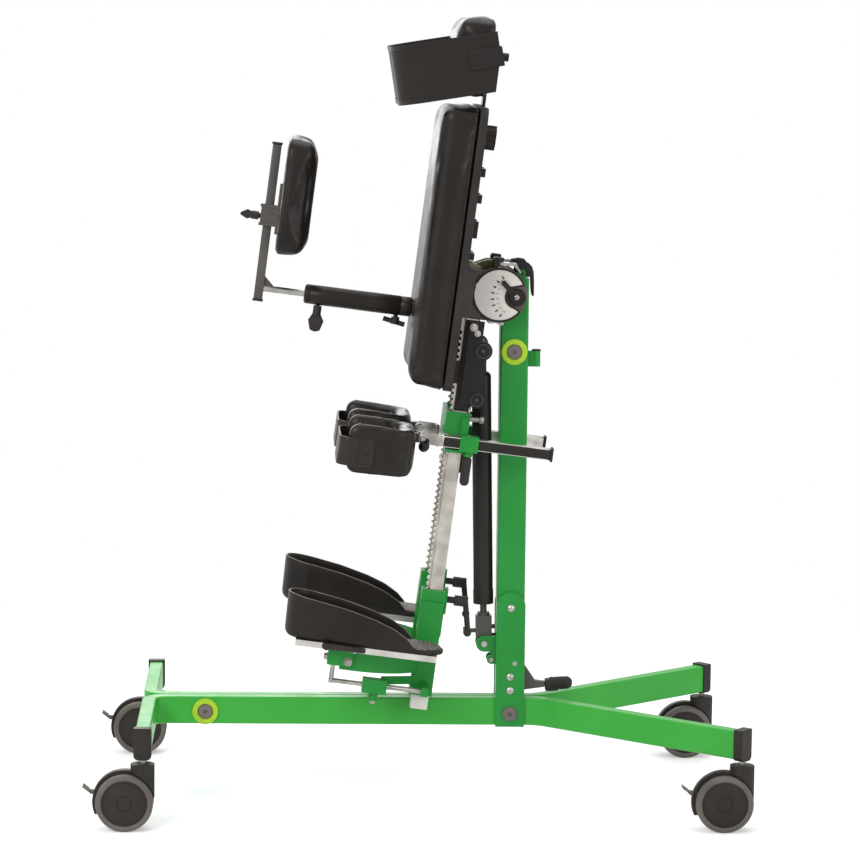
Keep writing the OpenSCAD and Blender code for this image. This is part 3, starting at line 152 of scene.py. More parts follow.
def lamp(name, place, target, size, power):
    data = bpy.data.lights.new(name, "AREA")
    data.size = size
    data.energy = power
    obj = bpy.data.objects.new(name, data)
    obj.location = place
    obj.rotation_euler = (Vector(target) - Vector(place)).to_track_quat("-Z", "Y").to_euler()
    scene.collection.objects.link(obj)


lamp("key", (-2.6, -3.4, 3.0), (0, 0, 0.6), 2.6, 135)
lamp("fill", (3.2, -2.6, 1.4), (0.1, 0, 0.6), 2.4, 45)
lamp("top", (0.2, 0.6, 4.2), (0, 0, 0.6), 2.6, 60)
lamp("back", (-1.0, 3.8, 2.2), (0, 0, 0.7), 2.6, 60)

# %% [markdown]
# A studio floor is a roll of white vinyl. One large face is enough, since only its colour and
# the shadow on it show. Towards the camera it fades into the white surround two metres out,
# so no edge of it is seen, and the soft shadow under the frame stays.

# %% Floor
FADE_FROM, FADE_TO = 0.9, 2.1  # metres from the middle
floor_mesh = bpy.data.meshes.new("floor")
shape = bmesh.new()
bmesh.ops.create_grid(shape, x_segments=1, y_segments=1, size=30)
shape.to_mesh(floor_mesh)
shape.free()
floor = bpy.data.objects.new("floor", floor_mesh)
scene.collection.objects.link(floor)
studio_floor = bpy.data.materials.new("studio_floor_matt_white_vinyl")
studio_floor.use_nodes = True
tree = studio_floor.node_tree
tree.nodes.clear()
path = add(tree, "ShaderNodeLightPath")
matt = add(tree, "ShaderNodeBsdfDiffuse", Color=(0.86, 0.86, 0.86, 1))
glow = add(tree, "ShaderNodeEmission", Color=(1, 1, 1, 1), Strength=0.34)
both = add(tree, "ShaderNodeAddShader", i0=matt.outputs[0], i1=glow.outputs[0])
seen = add(tree, "ShaderNodeMath", {"operation": "MAXIMUM"}, i0=path.outputs["Is Camera Ray"],
           i1=path.outputs["Is Glossy Ray"])
spot = add(tree, "ShaderNodeTexCoord").outputs["Object"]
far = add(tree, "ShaderNodeVectorMath", {"operation": "LENGTH"}, i0=spot)
fade = add(tree, "ShaderNodeMapRange", {"interpolation_type": "SMOOTHSTEP"},
           Value=far.outputs["Value"], From_Min=FADE_FROM, From_Max=FADE_TO)
white = add(tree, "ShaderNodeEmission", Color=(1, 1, 1, 1), Strength=1.0)
shown = add(tree, "ShaderNodeMixShader", i0=fade.outputs["Result"], i1=both.outputs[0],
            i2=white.outputs[0])
floor_mix = add(tree, "ShaderNodeMixShader", i0=seen.outputs[0], i1=matt.outputs[0],
                i2=shown.outputs[0])
add(tree, "ShaderNodeOutputMaterial", Surface=floor_mix.outputs[0])
floor_mesh.materials.append(studio_floor)
print("floor fades out at", FADE_TO, "m")

# %% [markdown]
# Each finish starts from what the real material is. Patterns read Object coordinates, in
# metres, so a scale of 1000 gives features of a millimetre. Bump heights are real heights.


# %% A finish and its shared steps
SHINE = 0.22  # of a plastic or paint; 0.5 would be a clean, clear one


def start(name, hex_text, rough, metal=0.0):
    """A new material, its node tree, its shader and the piece's own coordinates."""
    made = bpy.data.materials.new(name)
    made.use_nodes = True
    tree = made.node_tree
    shader = tree.nodes["Principled BSDF"]
    shader.inputs["Base Color"].default_value = linear(hex_text)
    shader.inputs["Roughness"].default_value = rough
    shader.inputs["Metallic"].default_value = metal
    shader.inputs["Specular IOR Level"].default_value = 0.5 if metal else SHINE
    place = add(tree, "ShaderNodeTexCoord").outputs["Object"]
    return made, tree, shader, place


def tint(tree, shader, place, dark, pale, size):
    """Colour that drifts between two tones over patches of a size in millimetres."""
    cloud = add(tree, "ShaderNodeTexNoise", Vector=place, Scale=1000 / size, Detail=3.0)
    ramp = add(tree, "ShaderNodeValToRGB", Fac=cloud.outputs["Fac"])
    ramp.color_ramp.elements[0].position = 0.34
    ramp.color_ramp.elements[1].position = 0.68
    ramp.color_ramp.elements[0].color = linear(dark)
    ramp.color_ramp.elements[1].color = linear(pale)
    tree.links.new(ramp.outputs["Color"], shader.inputs["Base Color"])


def uneven_gloss(tree, shader, place, low, high, size):
    """Roughness that varies as a handled surface does."""
    cloud = add(tree, "ShaderNodeTexNoise", Vector=place, Scale=1000 / size, Detail=4.0)
    spread = add(tree, "ShaderNodeMapRange", Value=cloud.outputs["Fac"], From_Min=0.3,
                 From_Max=0.7, To_Min=low, To_Max=high)
    tree.links.new(spread.outputs["Result"], shader.inputs["Roughness"])


def relief(tree, shader, height, depth_mm, strength=1.0, before=None):
    """Bump of a real depth; a second relief is laid over the one before."""
    links = {"Height": height, "Distance": depth_mm * MM, "Strength": strength}
    if before is not None:
        links["Normal"] = before
    made = add(tree, "ShaderNodeBump", **links)
    tree.links.new(made.outputs["Normal"], shader.inputs["Normal"])
    return made.outputs["Normal"]


def pitted(tree, shader, place, size, depth_mm, strength, before=None, detail=2.0):
    """Relief of irregular bumps of a size in millimetres."""
    bumps = add(tree, "ShaderNodeTexNoise", Vector=place, Scale=1000 / size, Detail=detail)
    return relief(tree, shader, bumps.outputs["Fac"], depth_mm, strength, before)


print("finishes start from a specular level of", SHINE)


# %% [markdown]
# The green tubes are welded steel with a gloss powder coat. A baked powder coat has a faint
# orange peel of one or two millimetres, and a clear, slightly soft reflection.


# %% Powder coats
def powder_coat(name, dark, pale, low, high, peel=1.4, coat=0.35):
    made, tree, shader, place = start(name, pale, low)
    tint(tree, shader, place, dark, pale, 160)
    uneven_gloss(tree, shader, place, low, high, 45)
    fine = pitted(tree, shader, place, peel, 0.05, 0.5)
    pitted(tree, shader, place, 22, 0.25, 0.18, fine)
    shader.inputs["Coat Weight"].default_value = coat
    shader.inputs["Coat Roughness"].default_value = 0.14
    return made


green_coat = powder_coat("green_gloss_powder_coat", "#339E36", "#3DAA3E", 0.34, 0.46, 1.4, 0.1)
# The mast, the knee carriage and the foot brackets wear the rails' green paint. Their darker copy
# of it is painted shade, because they stand in less light than the rails.
mast_coat_painted_shade = powder_coat("green_gloss_powder_coat_painted_shade", "#1B8130", "#258E3A", 0.34, 0.46, 1.4,
                        0.08)
black_coat = powder_coat("black_satin_powder_coat", "#1C1916", "#26221F", 0.42, 0.55, 1.0, 0.04)
grey_coat = powder_coat("graphite_powder_coat", "#4B4744", "#5B5753", 0.36, 0.5, 1.2, 0.2)
print("powder coats", [m.name for m in (green_coat, mast_coat_painted_shade, black_coat, grey_coat)])


# %% [markdown]
# The bare metal is zinc-plated or drawn steel and mill-finish aluminium. Drawing and rolling
# leave fine lines along the tube, so the noise is stretched along the board's height.

# %% Bare metals
def drawn_metal(name, hex_dark, hex_pale, low, high, stretch, turn=0.0):
    made, tree, shader, place = start(name, hex_pale, low, 1.0)
    tint(tree, shader, place, hex_dark, hex_pale, 30)
    lines = add(tree, "ShaderNodeMapping", Vector=place, Rotation=(0, turn, 0), Scale=stretch)
    grain = add(tree, "ShaderNodeTexNoise", Vector=lines.outputs["Vector"], Scale=900,
                Detail=3.0)
    spread = add(tree, "ShaderNodeMapRange", Value=grain.outputs["Fac"], From_Min=0.3,
                 From_Max=0.7, To_Min=low, To_Max=high)
    tree.links.new(spread.outputs["Result"], shader.inputs["Roughness"])
    relief(tree, shader, grain.outputs["Fac"], 0.02, 0.35)
    return made


zinc_plate = drawn_metal("bright_zinc_plated_steel", "#84817D", "#B4B1AC", 0.22, 0.38, (1, 1, 1))
drawn_steel = drawn_metal("drawn_plated_steel_tube", "#A6A199", "#CAC5BD", 0.28, 0.42,
                          (1, 1, 0.03), -LEAN)
bright_tube = drawn_metal("bright_galvanised_tube", "#A9A5A0", "#D2CFCA", 0.24, 0.38,
                          (0.03, 1, 1), -LEAN)
mill_alloy = drawn_metal("mill_finish_aluminium", "#B3AFAA", "#CFCBC6", 0.3, 0.45,
                         (0.03, 1, 1), -LEAN)
print("metals", [m.name for m in (zinc_plate, drawn_steel, bright_tube, mill_alloy)])


# %% [markdown]
# The hard black parts are injection-moulded nylon and ABS. A spark-eroded mould leaves a
# fine, even texture that takes the shine off, and edges that hands touch turn glossier.

# %% Moulded plastics
def moulded(name, dark, pale, low, high, texture=0.7, depth=0.04):
    made, tree, shader, place = start(name, pale, low)
    tint(tree, shader, place, dark, pale, 60)
    uneven_gloss(tree, shader, place, low, high, 25)
    pitted(tree, shader, place, texture, depth, 0.6, detail=1.0)
    return made


black_nylon = moulded("black_glass_filled_nylon", "#25211F", "#302B29", 0.42, 0.58)
castor_nylon = moulded("charcoal_castor_nylon", "#25211E", "#312B28", 0.45, 0.6)
gloss_abs = moulded("black_gloss_ABS", "#1F1B1A", "#292422", 0.16, 0.3, 1.2, 0.01)
housing_abs = moulded("warm_grey_ABS", "#4B4541", "#59524D", 0.42, 0.56)
scale_abs = moulded("pale_grey_printed_ABS", "#D6D0CA", "#E2DCD6", 0.4, 0.5, 0.8, 0.01)
lime_abs = moulded("lime_ABS", "#9CC22A", "#AFD236", 0.34, 0.46, 1.0, 0.015)
plug_abs = moulded("stone_grey_ABS", "#67605C", "#7A726D", 0.42, 0.55)
brake_nylon = moulded("mid_grey_castor_nylon", "#615A55", "#746C67", 0.42, 0.56)
tread_pu = moulded("grey_polyurethane_tread", "#5B5550", "#6B6560", 0.5, 0.64, 0.9, 0.03)
ink_black = moulded("black_print", "#1E1A19", "#282322", 0.4, 0.5, 1.0, 0.01)
rubber_grip = moulded("black_rubber", "#242120", "#302C2A", 0.6, 0.75, 0.9, 0.05)
print("materials so far", len(bpy.data.materials))

# %% [markdown]
# The pads are foam under black vinyl-coated fabric. Its embossed grain is a net of soft
# cells about two millimetres across, cut by finer wrinkles, and it shines at a low angle.
# The grain scatters most of the light, so the vinyl itself starts duller than a plastic.


# %% Upholstery vinyl
VINYL_SHINE = 0.15


def upholstery(name, dark, pale, cell, low, high, depth):
    made, tree, shader, place = start(name, pale, low)
    shader.inputs["Specular IOR Level"].default_value = VINYL_SHINE
    tint(tree, shader, place, dark, pale, 70)
    uneven_gloss(tree, shader, place, low, high, 30)
    drift = add(tree, "ShaderNodeTexNoise", Vector=place, Scale=1000 / (3 * cell), Detail=2.0)
    bent = add(tree, "ShaderNodeMix", {"data_type": "VECTOR"}, i0=0.0012, i4=place,
               i5=drift.outputs["Color"])
    cells = add(tree, "ShaderNodeTexVoronoi", {"feature": "SMOOTH_F1"},
                Vector=bent.outputs[1], Scale=1000 / cell, Smoothness=0.6)
    wrinkles = add(tree, "ShaderNodeTexNoise", Vector=place, Scale=1000 / (0.6 * cell),
                   Detail=4.0)
    grain = add(tree, "ShaderNodeMath", {"operation": "MULTIPLY_ADD"},
                i0=wrinkles.outputs["Fac"], i1=0.35,
                i2=cells.outputs["Distance"])
    fine = relief(tree, shader, grain.outputs[0], depth, 0.75)
    pitted(tree, shader, place, 28, 0.9, 0.25, fine)
    shader.inputs["Coat Weight"].default_value = 0.12
    shader.inputs["Coat Roughness"].default_value = 0.16
    return made


black_vinyl = upholstery("black_embossed_vinyl", "#181411", "#201B17", 2.2, 0.36, 0.5, 0.28)
soft_vinyl = upholstery("black_soft_vinyl", "#1A1613", "#261F1B", 1.6, 0.34, 0.48, 0.2)
sandal_eva = upholstery("black_sandal_leather", "#191512", "#241E1B", 1.2, 0.4, 0.55, 0.12)
print("vinyls", [m.name for m in (black_vinyl, soft_vinyl, sandal_eva)])

# %% [markdown]
# The chest belt is neoprene faced with knitted fabric; the narrow straps are woven polyester
# webbing. Each has crossing waves at its thread pitch, drawn a little coarse so they show.


# %% Fabrics
def woven(name, dark, pale, pitch, depth, turn=(0, 0, 0), sheen=0.25):
    made, tree, shader, place = start(name, pale, 0.82)
    laid = add(tree, "ShaderNodeMapping", Vector=place, Rotation=turn).outputs["Vector"]
    per_metre = 1000 / pitch / 3.18
    warp = add(tree, "ShaderNodeTexWave", {"bands_direction": "X"}, Vector=laid,
               Scale=per_metre, Distortion=0.6, Detail=1.0)
    weft = add(tree, "ShaderNodeTexWave", {"bands_direction": "Z"}, Vector=laid,
               Scale=per_metre, Distortion=0.6, Detail=1.0)
    cross = add(tree, "ShaderNodeMath", {"operation": "MULTIPLY"}, i0=warp.outputs["Fac"],
                i1=weft.outputs["Fac"])
    lint = add(tree, "ShaderNodeTexNoise", Vector=place, Scale=1000 / 9, Detail=4.0)
    both = add(tree, "ShaderNodeMath", {"operation": "MULTIPLY_ADD"},
               i0=lint.outputs["Fac"], i1=0.5, i2=cross.outputs[0])
    ramp = add(tree, "ShaderNodeValToRGB", Fac=both.outputs[0])
    ramp.color_ramp.elements[0].position = 0.2
    ramp.color_ramp.elements[1].position = 0.9
    ramp.color_ramp.elements[0].color = linear(dark)
    ramp.color_ramp.elements[1].color = linear(pale)
    tree.links.new(ramp.outputs["Color"], shader.inputs["Base Color"])
    relief(tree, shader, cross.outputs[0], depth, 0.8)
    shader.inputs["Sheen Weight"].default_value = sheen
    shader.inputs["Sheen Roughness"].default_value = 0.5
    return made


belt_knit = woven("black_knit_faced_neoprene", "#1D1917", "#2B2623", 1.3, 0.12,
                  (0, math.radians(9), 0), 0.12)
black_webbing = woven("black_polyester_webbing", "#191614", "#262220", 1.8, 0.3, (0, LEAN, 0))
thread = moulded("black_polyester_thread", "#3A3431", "#4A4440", 0.6, 0.7, 0.5, 0.05)
strap_leather = upholstery("black_strap_leather", "#221D1A", "#302925", 1.0, 0.42, 0.56, 0.08)
upright_steel = powder_coat("worn_grey_enamel", "#45413E", "#5C5753", 0.3, 0.46, 1.2, 0.1)
# A pale colour for the sandals' rim line: it is painted highlight where light catches the top
# edge.
rim_highlight_band = moulded("pale_rim_painted_highlight", "#6D655F", "#8B837C", 0.4, 0.5, 0.9, 0.03)
print("fabrics", belt_knit.name, black_webbing.name)

# %% [markdown]
# The insoles are rubber sheet with raised diamonds. A checker pattern turned by 45 degrees
# gives both the worn tops' paler tone and their height. The last few plastics follow it.


# %% Chequered rubber and the last plastics
def chequered(name, dark, pale, pitch):
    """Rubber sheet with raised diamonds, whose tops are rubbed paler."""
    made, tree, shader, place = start(name, pale, 0.6)
    laid = add(tree, "ShaderNodeMapping", Vector=place, Rotation=(0, LEAN, math.radians(45)))
    diamonds = add(tree, "ShaderNodeTexChecker", Vector=laid.outputs["Vector"],
                   Color1=linear(dark), Color2=linear(pale), Scale=1000 / pitch)
    tree.links.new(diamonds.outputs["Color"], shader.inputs["Base Color"])
    relief(tree, shader, diamonds.outputs["Fac"], 0.4, 0.8)
    return made


chequer_rubber = chequered("chequered_insole_rubber", "#2C2826", "#8F8882", 2.6)
olive_abs = moulded("olive_smoked_ABS", "#54533A", "#6A6944", 0.3, 0.42, 1.2, 0.01)
pale_olive = moulded("pale_olive_ABS", "#98997F", "#B4B59C", 0.3, 0.42, 1.2, 0.01)
white_nylon = moulded("natural_white_nylon", "#D8D5CF", "#E8E5E0", 0.4, 0.5, 0.9, 0.02)
number_ink = moulded("brown_grey_print", "#857A70", "#968B82", 0.45, 0.55, 1.0, 0.01)
print("materials", len(bpy.data.materials))

# %% [markdown]
# New pieces are drawn in millimetres in a bmesh. One function places the drawing, turns it
# into an object with smooth faces and crisp edges, and hangs it on the body that carries it.
# The place goes into the mesh, so every object stays at the origin, unturned and unscaled.


def piece(shape, name, material, body, space=BOARD, crisp=38):
    """Places a drawing in metres, as an object that rides on a body."""
    bmesh.ops.transform(shape, matrix=space, verts=shape.verts)
    bmesh.ops.recalc_face_normals(shape, faces=shape.faces)
    mesh = bpy.data.meshes.new(name)
    shape.to_mesh(mesh)
    shape.free()
    mesh.shade_smooth()
    mesh.set_sharp_from_angle(angle=math.radians(crisp))
    mesh.materials.append(material)
    made = bpy.data.objects.new(name, mesh)
    scene.collection.objects.link(made)
    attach(made, body)
    return made


def measured(obj):
    """A piece's name and its size in millimetres, for what a cell prints."""
    return f"{obj.name} {[round(x / MM, 1) for x in obj.dimensions]}"


def evaluated(obj):
    """The object's mesh with its modifiers applied, as a new mesh."""
    bpy.context.view_layer.update()
    graph = bpy.context.evaluated_depsgraph_get()
    return bpy.data.meshes.new_from_object(obj.evaluated_get(graph))


def apply_modifiers(obj):
    mesh = evaluated(obj)
    obj.modifiers.clear()
    old = obj.data
    obj.data = mesh
    bpy.data.meshes.remove(old)
    mesh.shade_smooth()
    return obj


def join(shape, other):
    """Adds the drawing of other to shape."""
    mesh = bpy.data.meshes.new("part")
    other.to_mesh(mesh)
    other.free()
    shape.from_mesh(mesh)
    bpy.data.meshes.remove(mesh)
    return shape


def drawn(curve, merge):
    """A curve's surface as a drawing; points closer than merge become one."""
    obj = bpy.data.objects.new("curve", curve)
    scene.collection.objects.link(obj)
    mesh = evaluated(obj)
    shape = bmesh.new()
    shape.from_mesh(mesh)
    bpy.data.meshes.remove(mesh)
    bpy.data.objects.remove(obj)
    bpy.data.curves.remove(curve)
    bmesh.ops.remove_doubles(shape, verts=shape.verts, dist=merge)
    return shape


def faces_of(trial):
    """How many faces a trial drawing has; the drawing is freed."""
    count = len(trial.faces)
    trial.free()
    return count


POINT, EDGE, FACE = bmesh.types.BMVert, bmesh.types.BMEdge, bmesh.types.BMFace


def only(mixed, kind):
    """Those of a mixed list that are points, edges or faces."""
    return [g for g in mixed if isinstance(g, kind)]


print("drawings become pieces in metres, at", MM, "per unit")

# %% [markdown]
# Round parts come off a lathe, and Spin works the same way: half of the section is drawn as
# pairs of radius and height and swept a full turn, and the doubles on the axis are merged.


# %% Turned shapes
def turned(profile, start_at=(0, 0, 0), along=(0, 0, 1), steps=48):
    """A profile of (radius, height) pairs, spun about an axis that starts at a point."""
    shape = bmesh.new()
    points = [shape.verts.new((r, 0, h)) for r, h in profile]
    edges = [shape.edges.new(pair) for pair in zip(points, points[1:])]
    bmesh.ops.spin(shape, geom=points + edges, cent=(0, 0, 0), axis=(0, 0, 1), dvec=(0, 0, 0),
                   angle=2 * math.pi, steps=steps, use_merge=True)
    bmesh.ops.remove_doubles(shape, verts=shape.verts, dist=0.001)
    turn = Vector((0, 0, 1)).rotation_difference(Vector(along)).to_matrix().to_4x4()
    bmesh.ops.transform(shape, matrix=Matrix.Translation(start_at) @ turn, verts=shape.verts)
    return shape


print("a plain pin has", faces_of(turned([(0, 0), (5, 0), (5, 9), (0, 9)])), "faces")

# %% [markdown]
# Flat parts are cut from sheet, so an outline is drawn and extruded to its thickness, and
# bars and blocks start from a cube. A small bevel breaks their edges, as a file would: its
# bright line is what makes a block look solid.


# %% Plates and bars
def rounded(shape, edges, radius, segments=2, clamp=False):
    """Rounds edges of a drawing."""
    bmesh.ops.bevel(shape, geom=edges, offset=radius, segments=segments, profile=0.5,
                    affect="EDGES", material=-1, clamp_overlap=clamp)


def plate(outline, y0, y1, edge=0.0, segments=2):
    """A flat piece from an outline in the side view, between two places across."""
    shape = bmesh.new()
    face = shape.faces.new([shape.verts.new((u, y0, w)) for u, w in outline])
    grown = bmesh.ops.extrude_face_region(shape, geom=[face])["geom"]
    bmesh.ops.translate(shape, verts=only(grown, POINT), vec=(0, y1 - y0, 0))
    if edge:
        rounded(shape, shape.edges[:], edge, segments, clamp=True)
    return shape


def bar(low, high, edge=1.0, segments=2):
    """A block between two corners, with its edges broken."""
    shape = bmesh.new()
    bmesh.ops.create_cube(shape, size=1)
    size = [b - a for a, b in zip(low, high)]
    bmesh.ops.scale(shape, vec=size, verts=shape.verts)
    bmesh.ops.translate(shape, vec=[(a + b) / 2 for a, b in zip(low, high)], verts=shape.verts)
    if edge:
        rounded(shape, shape.edges[:], edge, segments, clamp=True)
    return shape


print("a block with broken edges has", faces_of(bar((0, 0, 0), (40, 20, 10))), "faces")

# %% [markdown]
# Wires, welts and rims are round all along. A curve with a bevel depth keeps an even section
# at every bend, where a swept ring of points would pinch, and it is then made a mesh.


# %% Bent wires
def bent_wire(points, radius, closed=False, sides=3, smooth=True):
    """A round wire along points, as a drawing."""
    curve = bpy.data.curves.new("wire", "CURVE")
    curve.dimensions = "3D"
    curve.bevel_depth = radius
    curve.bevel_resolution = sides
    curve.use_fill_caps = True
    line = curve.splines.new("NURBS" if smooth else "POLY")
    line.points.add(len(points) - 1)
    for spot, place in zip(line.points, points):
        spot.co = (*place, 1)
    line.use_cyclic_u = closed
    if smooth:
        line.order_u = 3
        line.use_endpoint_u = not closed
        line.resolution_u = 4
    return drawn(curve, 0.001)


print("a straight wire has", faces_of(bent_wire([(0, 0, 0), (9, 0, 0)], 1, smooth=False)), "faces")

# %% [markdown]
# A stuffed pad is a sewn cover that foam pushes out. The cloth simulation does that: the
# block is remeshed to even small faces, pressure swells it for twenty frames, and the face
# that lies on a board is pinned. A limit on how far a point may move keeps the size.

# %% Swelling foam
SIM_FRAMES = 20


def swell(pad, held, pressure=4.0, cap_mm=6.0, voxel_mm=5.0, tension=15.0):
    """Remeshes a pad and lets it swell; held says which points (in metres) stay."""
    remesh = pad.modifiers.new("even", "REMESH")
    remesh.mode = "VOXEL"
    remesh.voxel_size = voxel_mm * MM
    apply_modifiers(pad)
    still = pad.vertex_groups.new(name="still")
    kept = [v.index for v in pad.data.vertices if held(v.co)]
    still.add(kept, 1.0, "REPLACE")
    rest = [v.co.copy() for v in pad.data.vertices]
    cloth = pad.modifiers.new("foam", "CLOTH")
    cloth.settings.use_pressure = True
    cloth.settings.uniform_pressure_force = pressure
    cloth.settings.effector_weights.gravity = 0
    cloth.settings.tension_stiffness = tension
    cloth.settings.compression_stiffness = tension
    if kept:
        cloth.settings.vertex_group_mass = "still"
    cloth.point_cache.frame_start = 1
    cloth.point_cache.frame_end = SIM_FRAMES
    for step in range(1, SIM_FRAMES + 1):
        scene.frame_set(step)
        bpy.context.view_layer.update()
    apply_modifiers(pad)
    scene.frame_set(1)
    for v, first in zip(pad.data.vertices, rest):
        way = v.co - first
        if way.length > cap_mm * MM:
            v.co = first + way.normalized() * cap_mm * MM
    pad.vertex_groups.clear()
    shape = bmesh.new()
    shape.from_mesh(pad.data)
    bmesh.ops.smooth_vert(shape, verts=shape.verts, factor=0.5, use_axis_x=True,
                          use_axis_y=True, use_axis_z=True)
    bmesh.ops.recalc_face_normals(shape, faces=shape.faces)
    shape.to_mesh(pad.data)
    shape.free()
    finer = pad.modifiers.new("finer", "SUBSURF")
    finer.levels = finer.render_levels = 1
    apply_modifiers(pad)
    print(pad.name, "points", len(pad.data.vertices))
    return pad


# %% [markdown]
# A seam follows the cover wherever the foam has pushed it, so its line isn't drawn by hand.
# A plane cuts a copy of the pad, and the edges of the cut, walked one after another, are it.


# %% Seam lines
def seam_loops(pad, point, normal, space=BOARD):
    """The closed lines in which a plane (given in the drawing's space) cuts a pad."""
    shape = bmesh.new()
    shape.from_mesh(pad.data)
    bmesh.ops.transform(shape, matrix=space.inverted(), verts=shape.verts)
    cut = bmesh.ops.bisect_plane(shape, geom=shape.verts[:] + shape.edges[:] + shape.faces[:],
                                 plane_co=point, plane_no=normal, dist=0.001)["geom_cut"]
    edges = set(only(cut, EDGE))
    lines = []
    while edges:
        first = edges.pop()
        line = [first.verts[0], first.verts[1]]
        while True:
            following = [e for e in line[-1].link_edges if e in edges]
            if not following:
                break
            edges.discard(following[0])
            line.append(following[0].other_vert(line[-1]))
        lines.append([v.co.copy() for v in line[:-1]])
    shape.free()
    return [line for line in lines if len(line) > 12]


def spaced(line, pitch, closed=True):
    """Points along a line at an even pitch, each with the direction there."""
    ring = line + line[:1] if closed else line
    lengths = [(b - a).length for a, b in zip(ring, ring[1:])]
    total = sum(lengths)
    count = max(4, round(total / pitch))
    found, k, done = [], 0, 0.0
    for i in range(count):
        at = total * i / count
        while k < len(lengths) - 1 and done + lengths[k] < at:
            done += lengths[k]
            k += 1
        share = (at - done) / max(lengths[k], 1e-9)
        found.append((ring[k].lerp(ring[k + 1], share), (ring[k + 1] - ring[k]).normalized()))
    return found


print("places 4 mm apart on a 40 mm line:",
      len(spaced([Vector((0, 0, 0)), Vector((40, 0, 0))], 4, closed=False)))

# %% [markdown]
# The welt is a thin cord sewn into the seam. Stitches are short threads at an even pitch;
# there are hundreds, so each is a stretched ball with few faces, a little coarser than real.


# %% Welts and stitches
def welt(pad, point, normal, radius=1.1):
    """A piped seam along the cut of a plane through a pad."""
    shape = bmesh.new()
    for line in seam_loops(pad, point, normal):
        even = [p for p, way in spaced(line, 9)]
        join(shape, bent_wire(even, radius, closed=True, sides=2))
    return shape


def sewn(lines, y, pitch):
    """Stitches along straight lines, each from (u, w) to (u, w), at a place across."""
    places = []
    for a, b in lines:
        places += spaced([Vector((a[0], y, a[1])), Vector((b[0], y, b[1]))], pitch, closed=False)
    return stitches(places)


def stitches(places, length=2.6, thick=0.45):
    """Short threads lying along the given places, each a small stretched ball."""
    shape = bmesh.new()
    for spot, way in places:
        turn = Vector((1, 0, 0)).rotation_difference(way).to_matrix().to_4x4()
        size = Matrix.Diagonal((length, 2 * thick, 2 * thick, 1))
        bmesh.ops.create_icosphere(shape, subdivisions=1, radius=0.5,
                                   matrix=Matrix.Translation(spot) @ turn @ size)
    return shape


print("a stitch has", faces_of(stitches([(Vector((0, 0, 0)), Vector((1, 0, 0)))])), "faces")

# %% [markdown]
# The hard pieces of the CAD model keep their shapes. Each is told what it is made of, and
# pressed, sawn or moulded edges are broken a little, because a real edge is never sharp and
# the thin line of light on it is what makes a block look solid.

# %% Finishes of the carried-over pieces
FINISHES = [
    (green_coat, 0, ["rail_near", "rail_far"]),
    (mast_coat_painted_shade, 0, ["mast_tube", "mast_plates"]),
    (mast_coat_painted_shade, 0.9, ["knee_carriage", "foot_bracket_near", "foot_bracket_far"]),
    (black_nylon, 1.0, ["leg_end_caps", "chest_knob", "arm_lever", "arm_knob", "back_knob",
                        "knee_knob_near", "knee_knob_far", "foot_lever_near",
                        "foot_lever_far", "board_shell"]),
    (gloss_abs, 0.8, ["angle_pointer"]),
    (black_coat, 0.8, ["strut_cylinder", "strut_bracket", "chest_post"]),
    (grey_coat, 0.6, ["strut_rod", "back_clamp", "foot_pedal"]),
    (zinc_plate, 0, ["frame_pins"]),
    (drawn_steel, 0, ["board_tubes"]),
    (mill_alloy, 0.5, ["foot_plate_near", "foot_plate_far"]),
    (lime_abs, 0.4, ["ring_caps"]),
    (plug_abs, 0.3, ["ring_plugs"]),
    (housing_abs, 1.2, ["tilt_heads"]),
    (scale_abs, 0, ["dial_plate"]),
]
for end in ("front", "rear"):
    for side in SIDES:
        FINISHES.append((castor_nylon, 0.8, [f"castor_{end}_{side}_fork"]))
        FINISHES.append((brake_nylon, 0.6, [f"castor_{end}_{side}_brake"]))


def break_edges(obj, width_mm, degrees):
    """Rounds a piece's edges that are sharper than an angle."""
    rim = obj.modifiers.new("edges", "BEVEL")
    rim.width = width_mm * MM
    rim.segments = 2
    rim.limit_method = "ANGLE"
    rim.angle_limit = math.radians(degrees)


def dress(name, material, edge):
    node = nodes[name]
    node.data.materials.clear()
    node.data.materials.append(material)
    if edge:
        weld = node.modifiers.new("joined", "WELD")
        weld.merge_threshold = 0.00002
        break_edges(node, edge, 40)
        even = node.modifiers.new("even_light", "WEIGHTED_NORMAL")
        even.weight = 90
        even.keep_sharp = False


for material, edge, names in FINISHES:
    for name in names:
        dress(name, material, edge)
print("dressed", sum(len(names) for material, edge, names in FINISHES))

# %% [markdown]
# Most new pieces of the near side have a twin on the far side. The drawing is made once for
# the near side, and this step mirrors it, and lifts it where the far foot stands higher.


# %% The far side
FAR_LIFT, FAR_BACK = 17, 8  # the far foot's bracket, and its sandal


def sided(shape, side, lift=0, back=0):
    if side == "far":
        bmesh.ops.scale(shape, vec=(1, -1, 1), verts=shape.verts)
        bmesh.ops.translate(shape, vec=(-back, 0, lift), verts=shape.verts)
    return shape


def cut(obj, tool):
    """Takes a drawing's shape out of a piece."""
    bmesh.ops.transform(tool, matrix=BOARD, verts=tool.verts)
    bmesh.ops.recalc_face_normals(tool, faces=tool.faces)
    mesh = bpy.data.meshes.new("tool")
    tool.to_mesh(mesh)
    tool.free()
    cutter = bpy.data.objects.new("tool", mesh)
    scene.collection.objects.link(cutter)
    hole = obj.modifiers.new("hole", "BOOLEAN")
    hole.operation = "DIFFERENCE"
    hole.solver = "EXACT"
    hole.object = cutter
    apply_modifiers(obj)
    bpy.data.objects.remove(cutter)
    obj.data.set_sharp_from_angle(angle=math.radians(45))


print("the far foot stands", FAR_LIFT, "mm higher, and its sandal", FAR_BACK, "mm further back")

# %% [markdown]
# The three flat pads, for the trunk, the chest and the back, are blocks of foam on a board
# under a sewn cover. Each starts a few millimetres small, with round corners, and swells.
# A piped seam then runs round the rear, where the cover is stapled to the board.


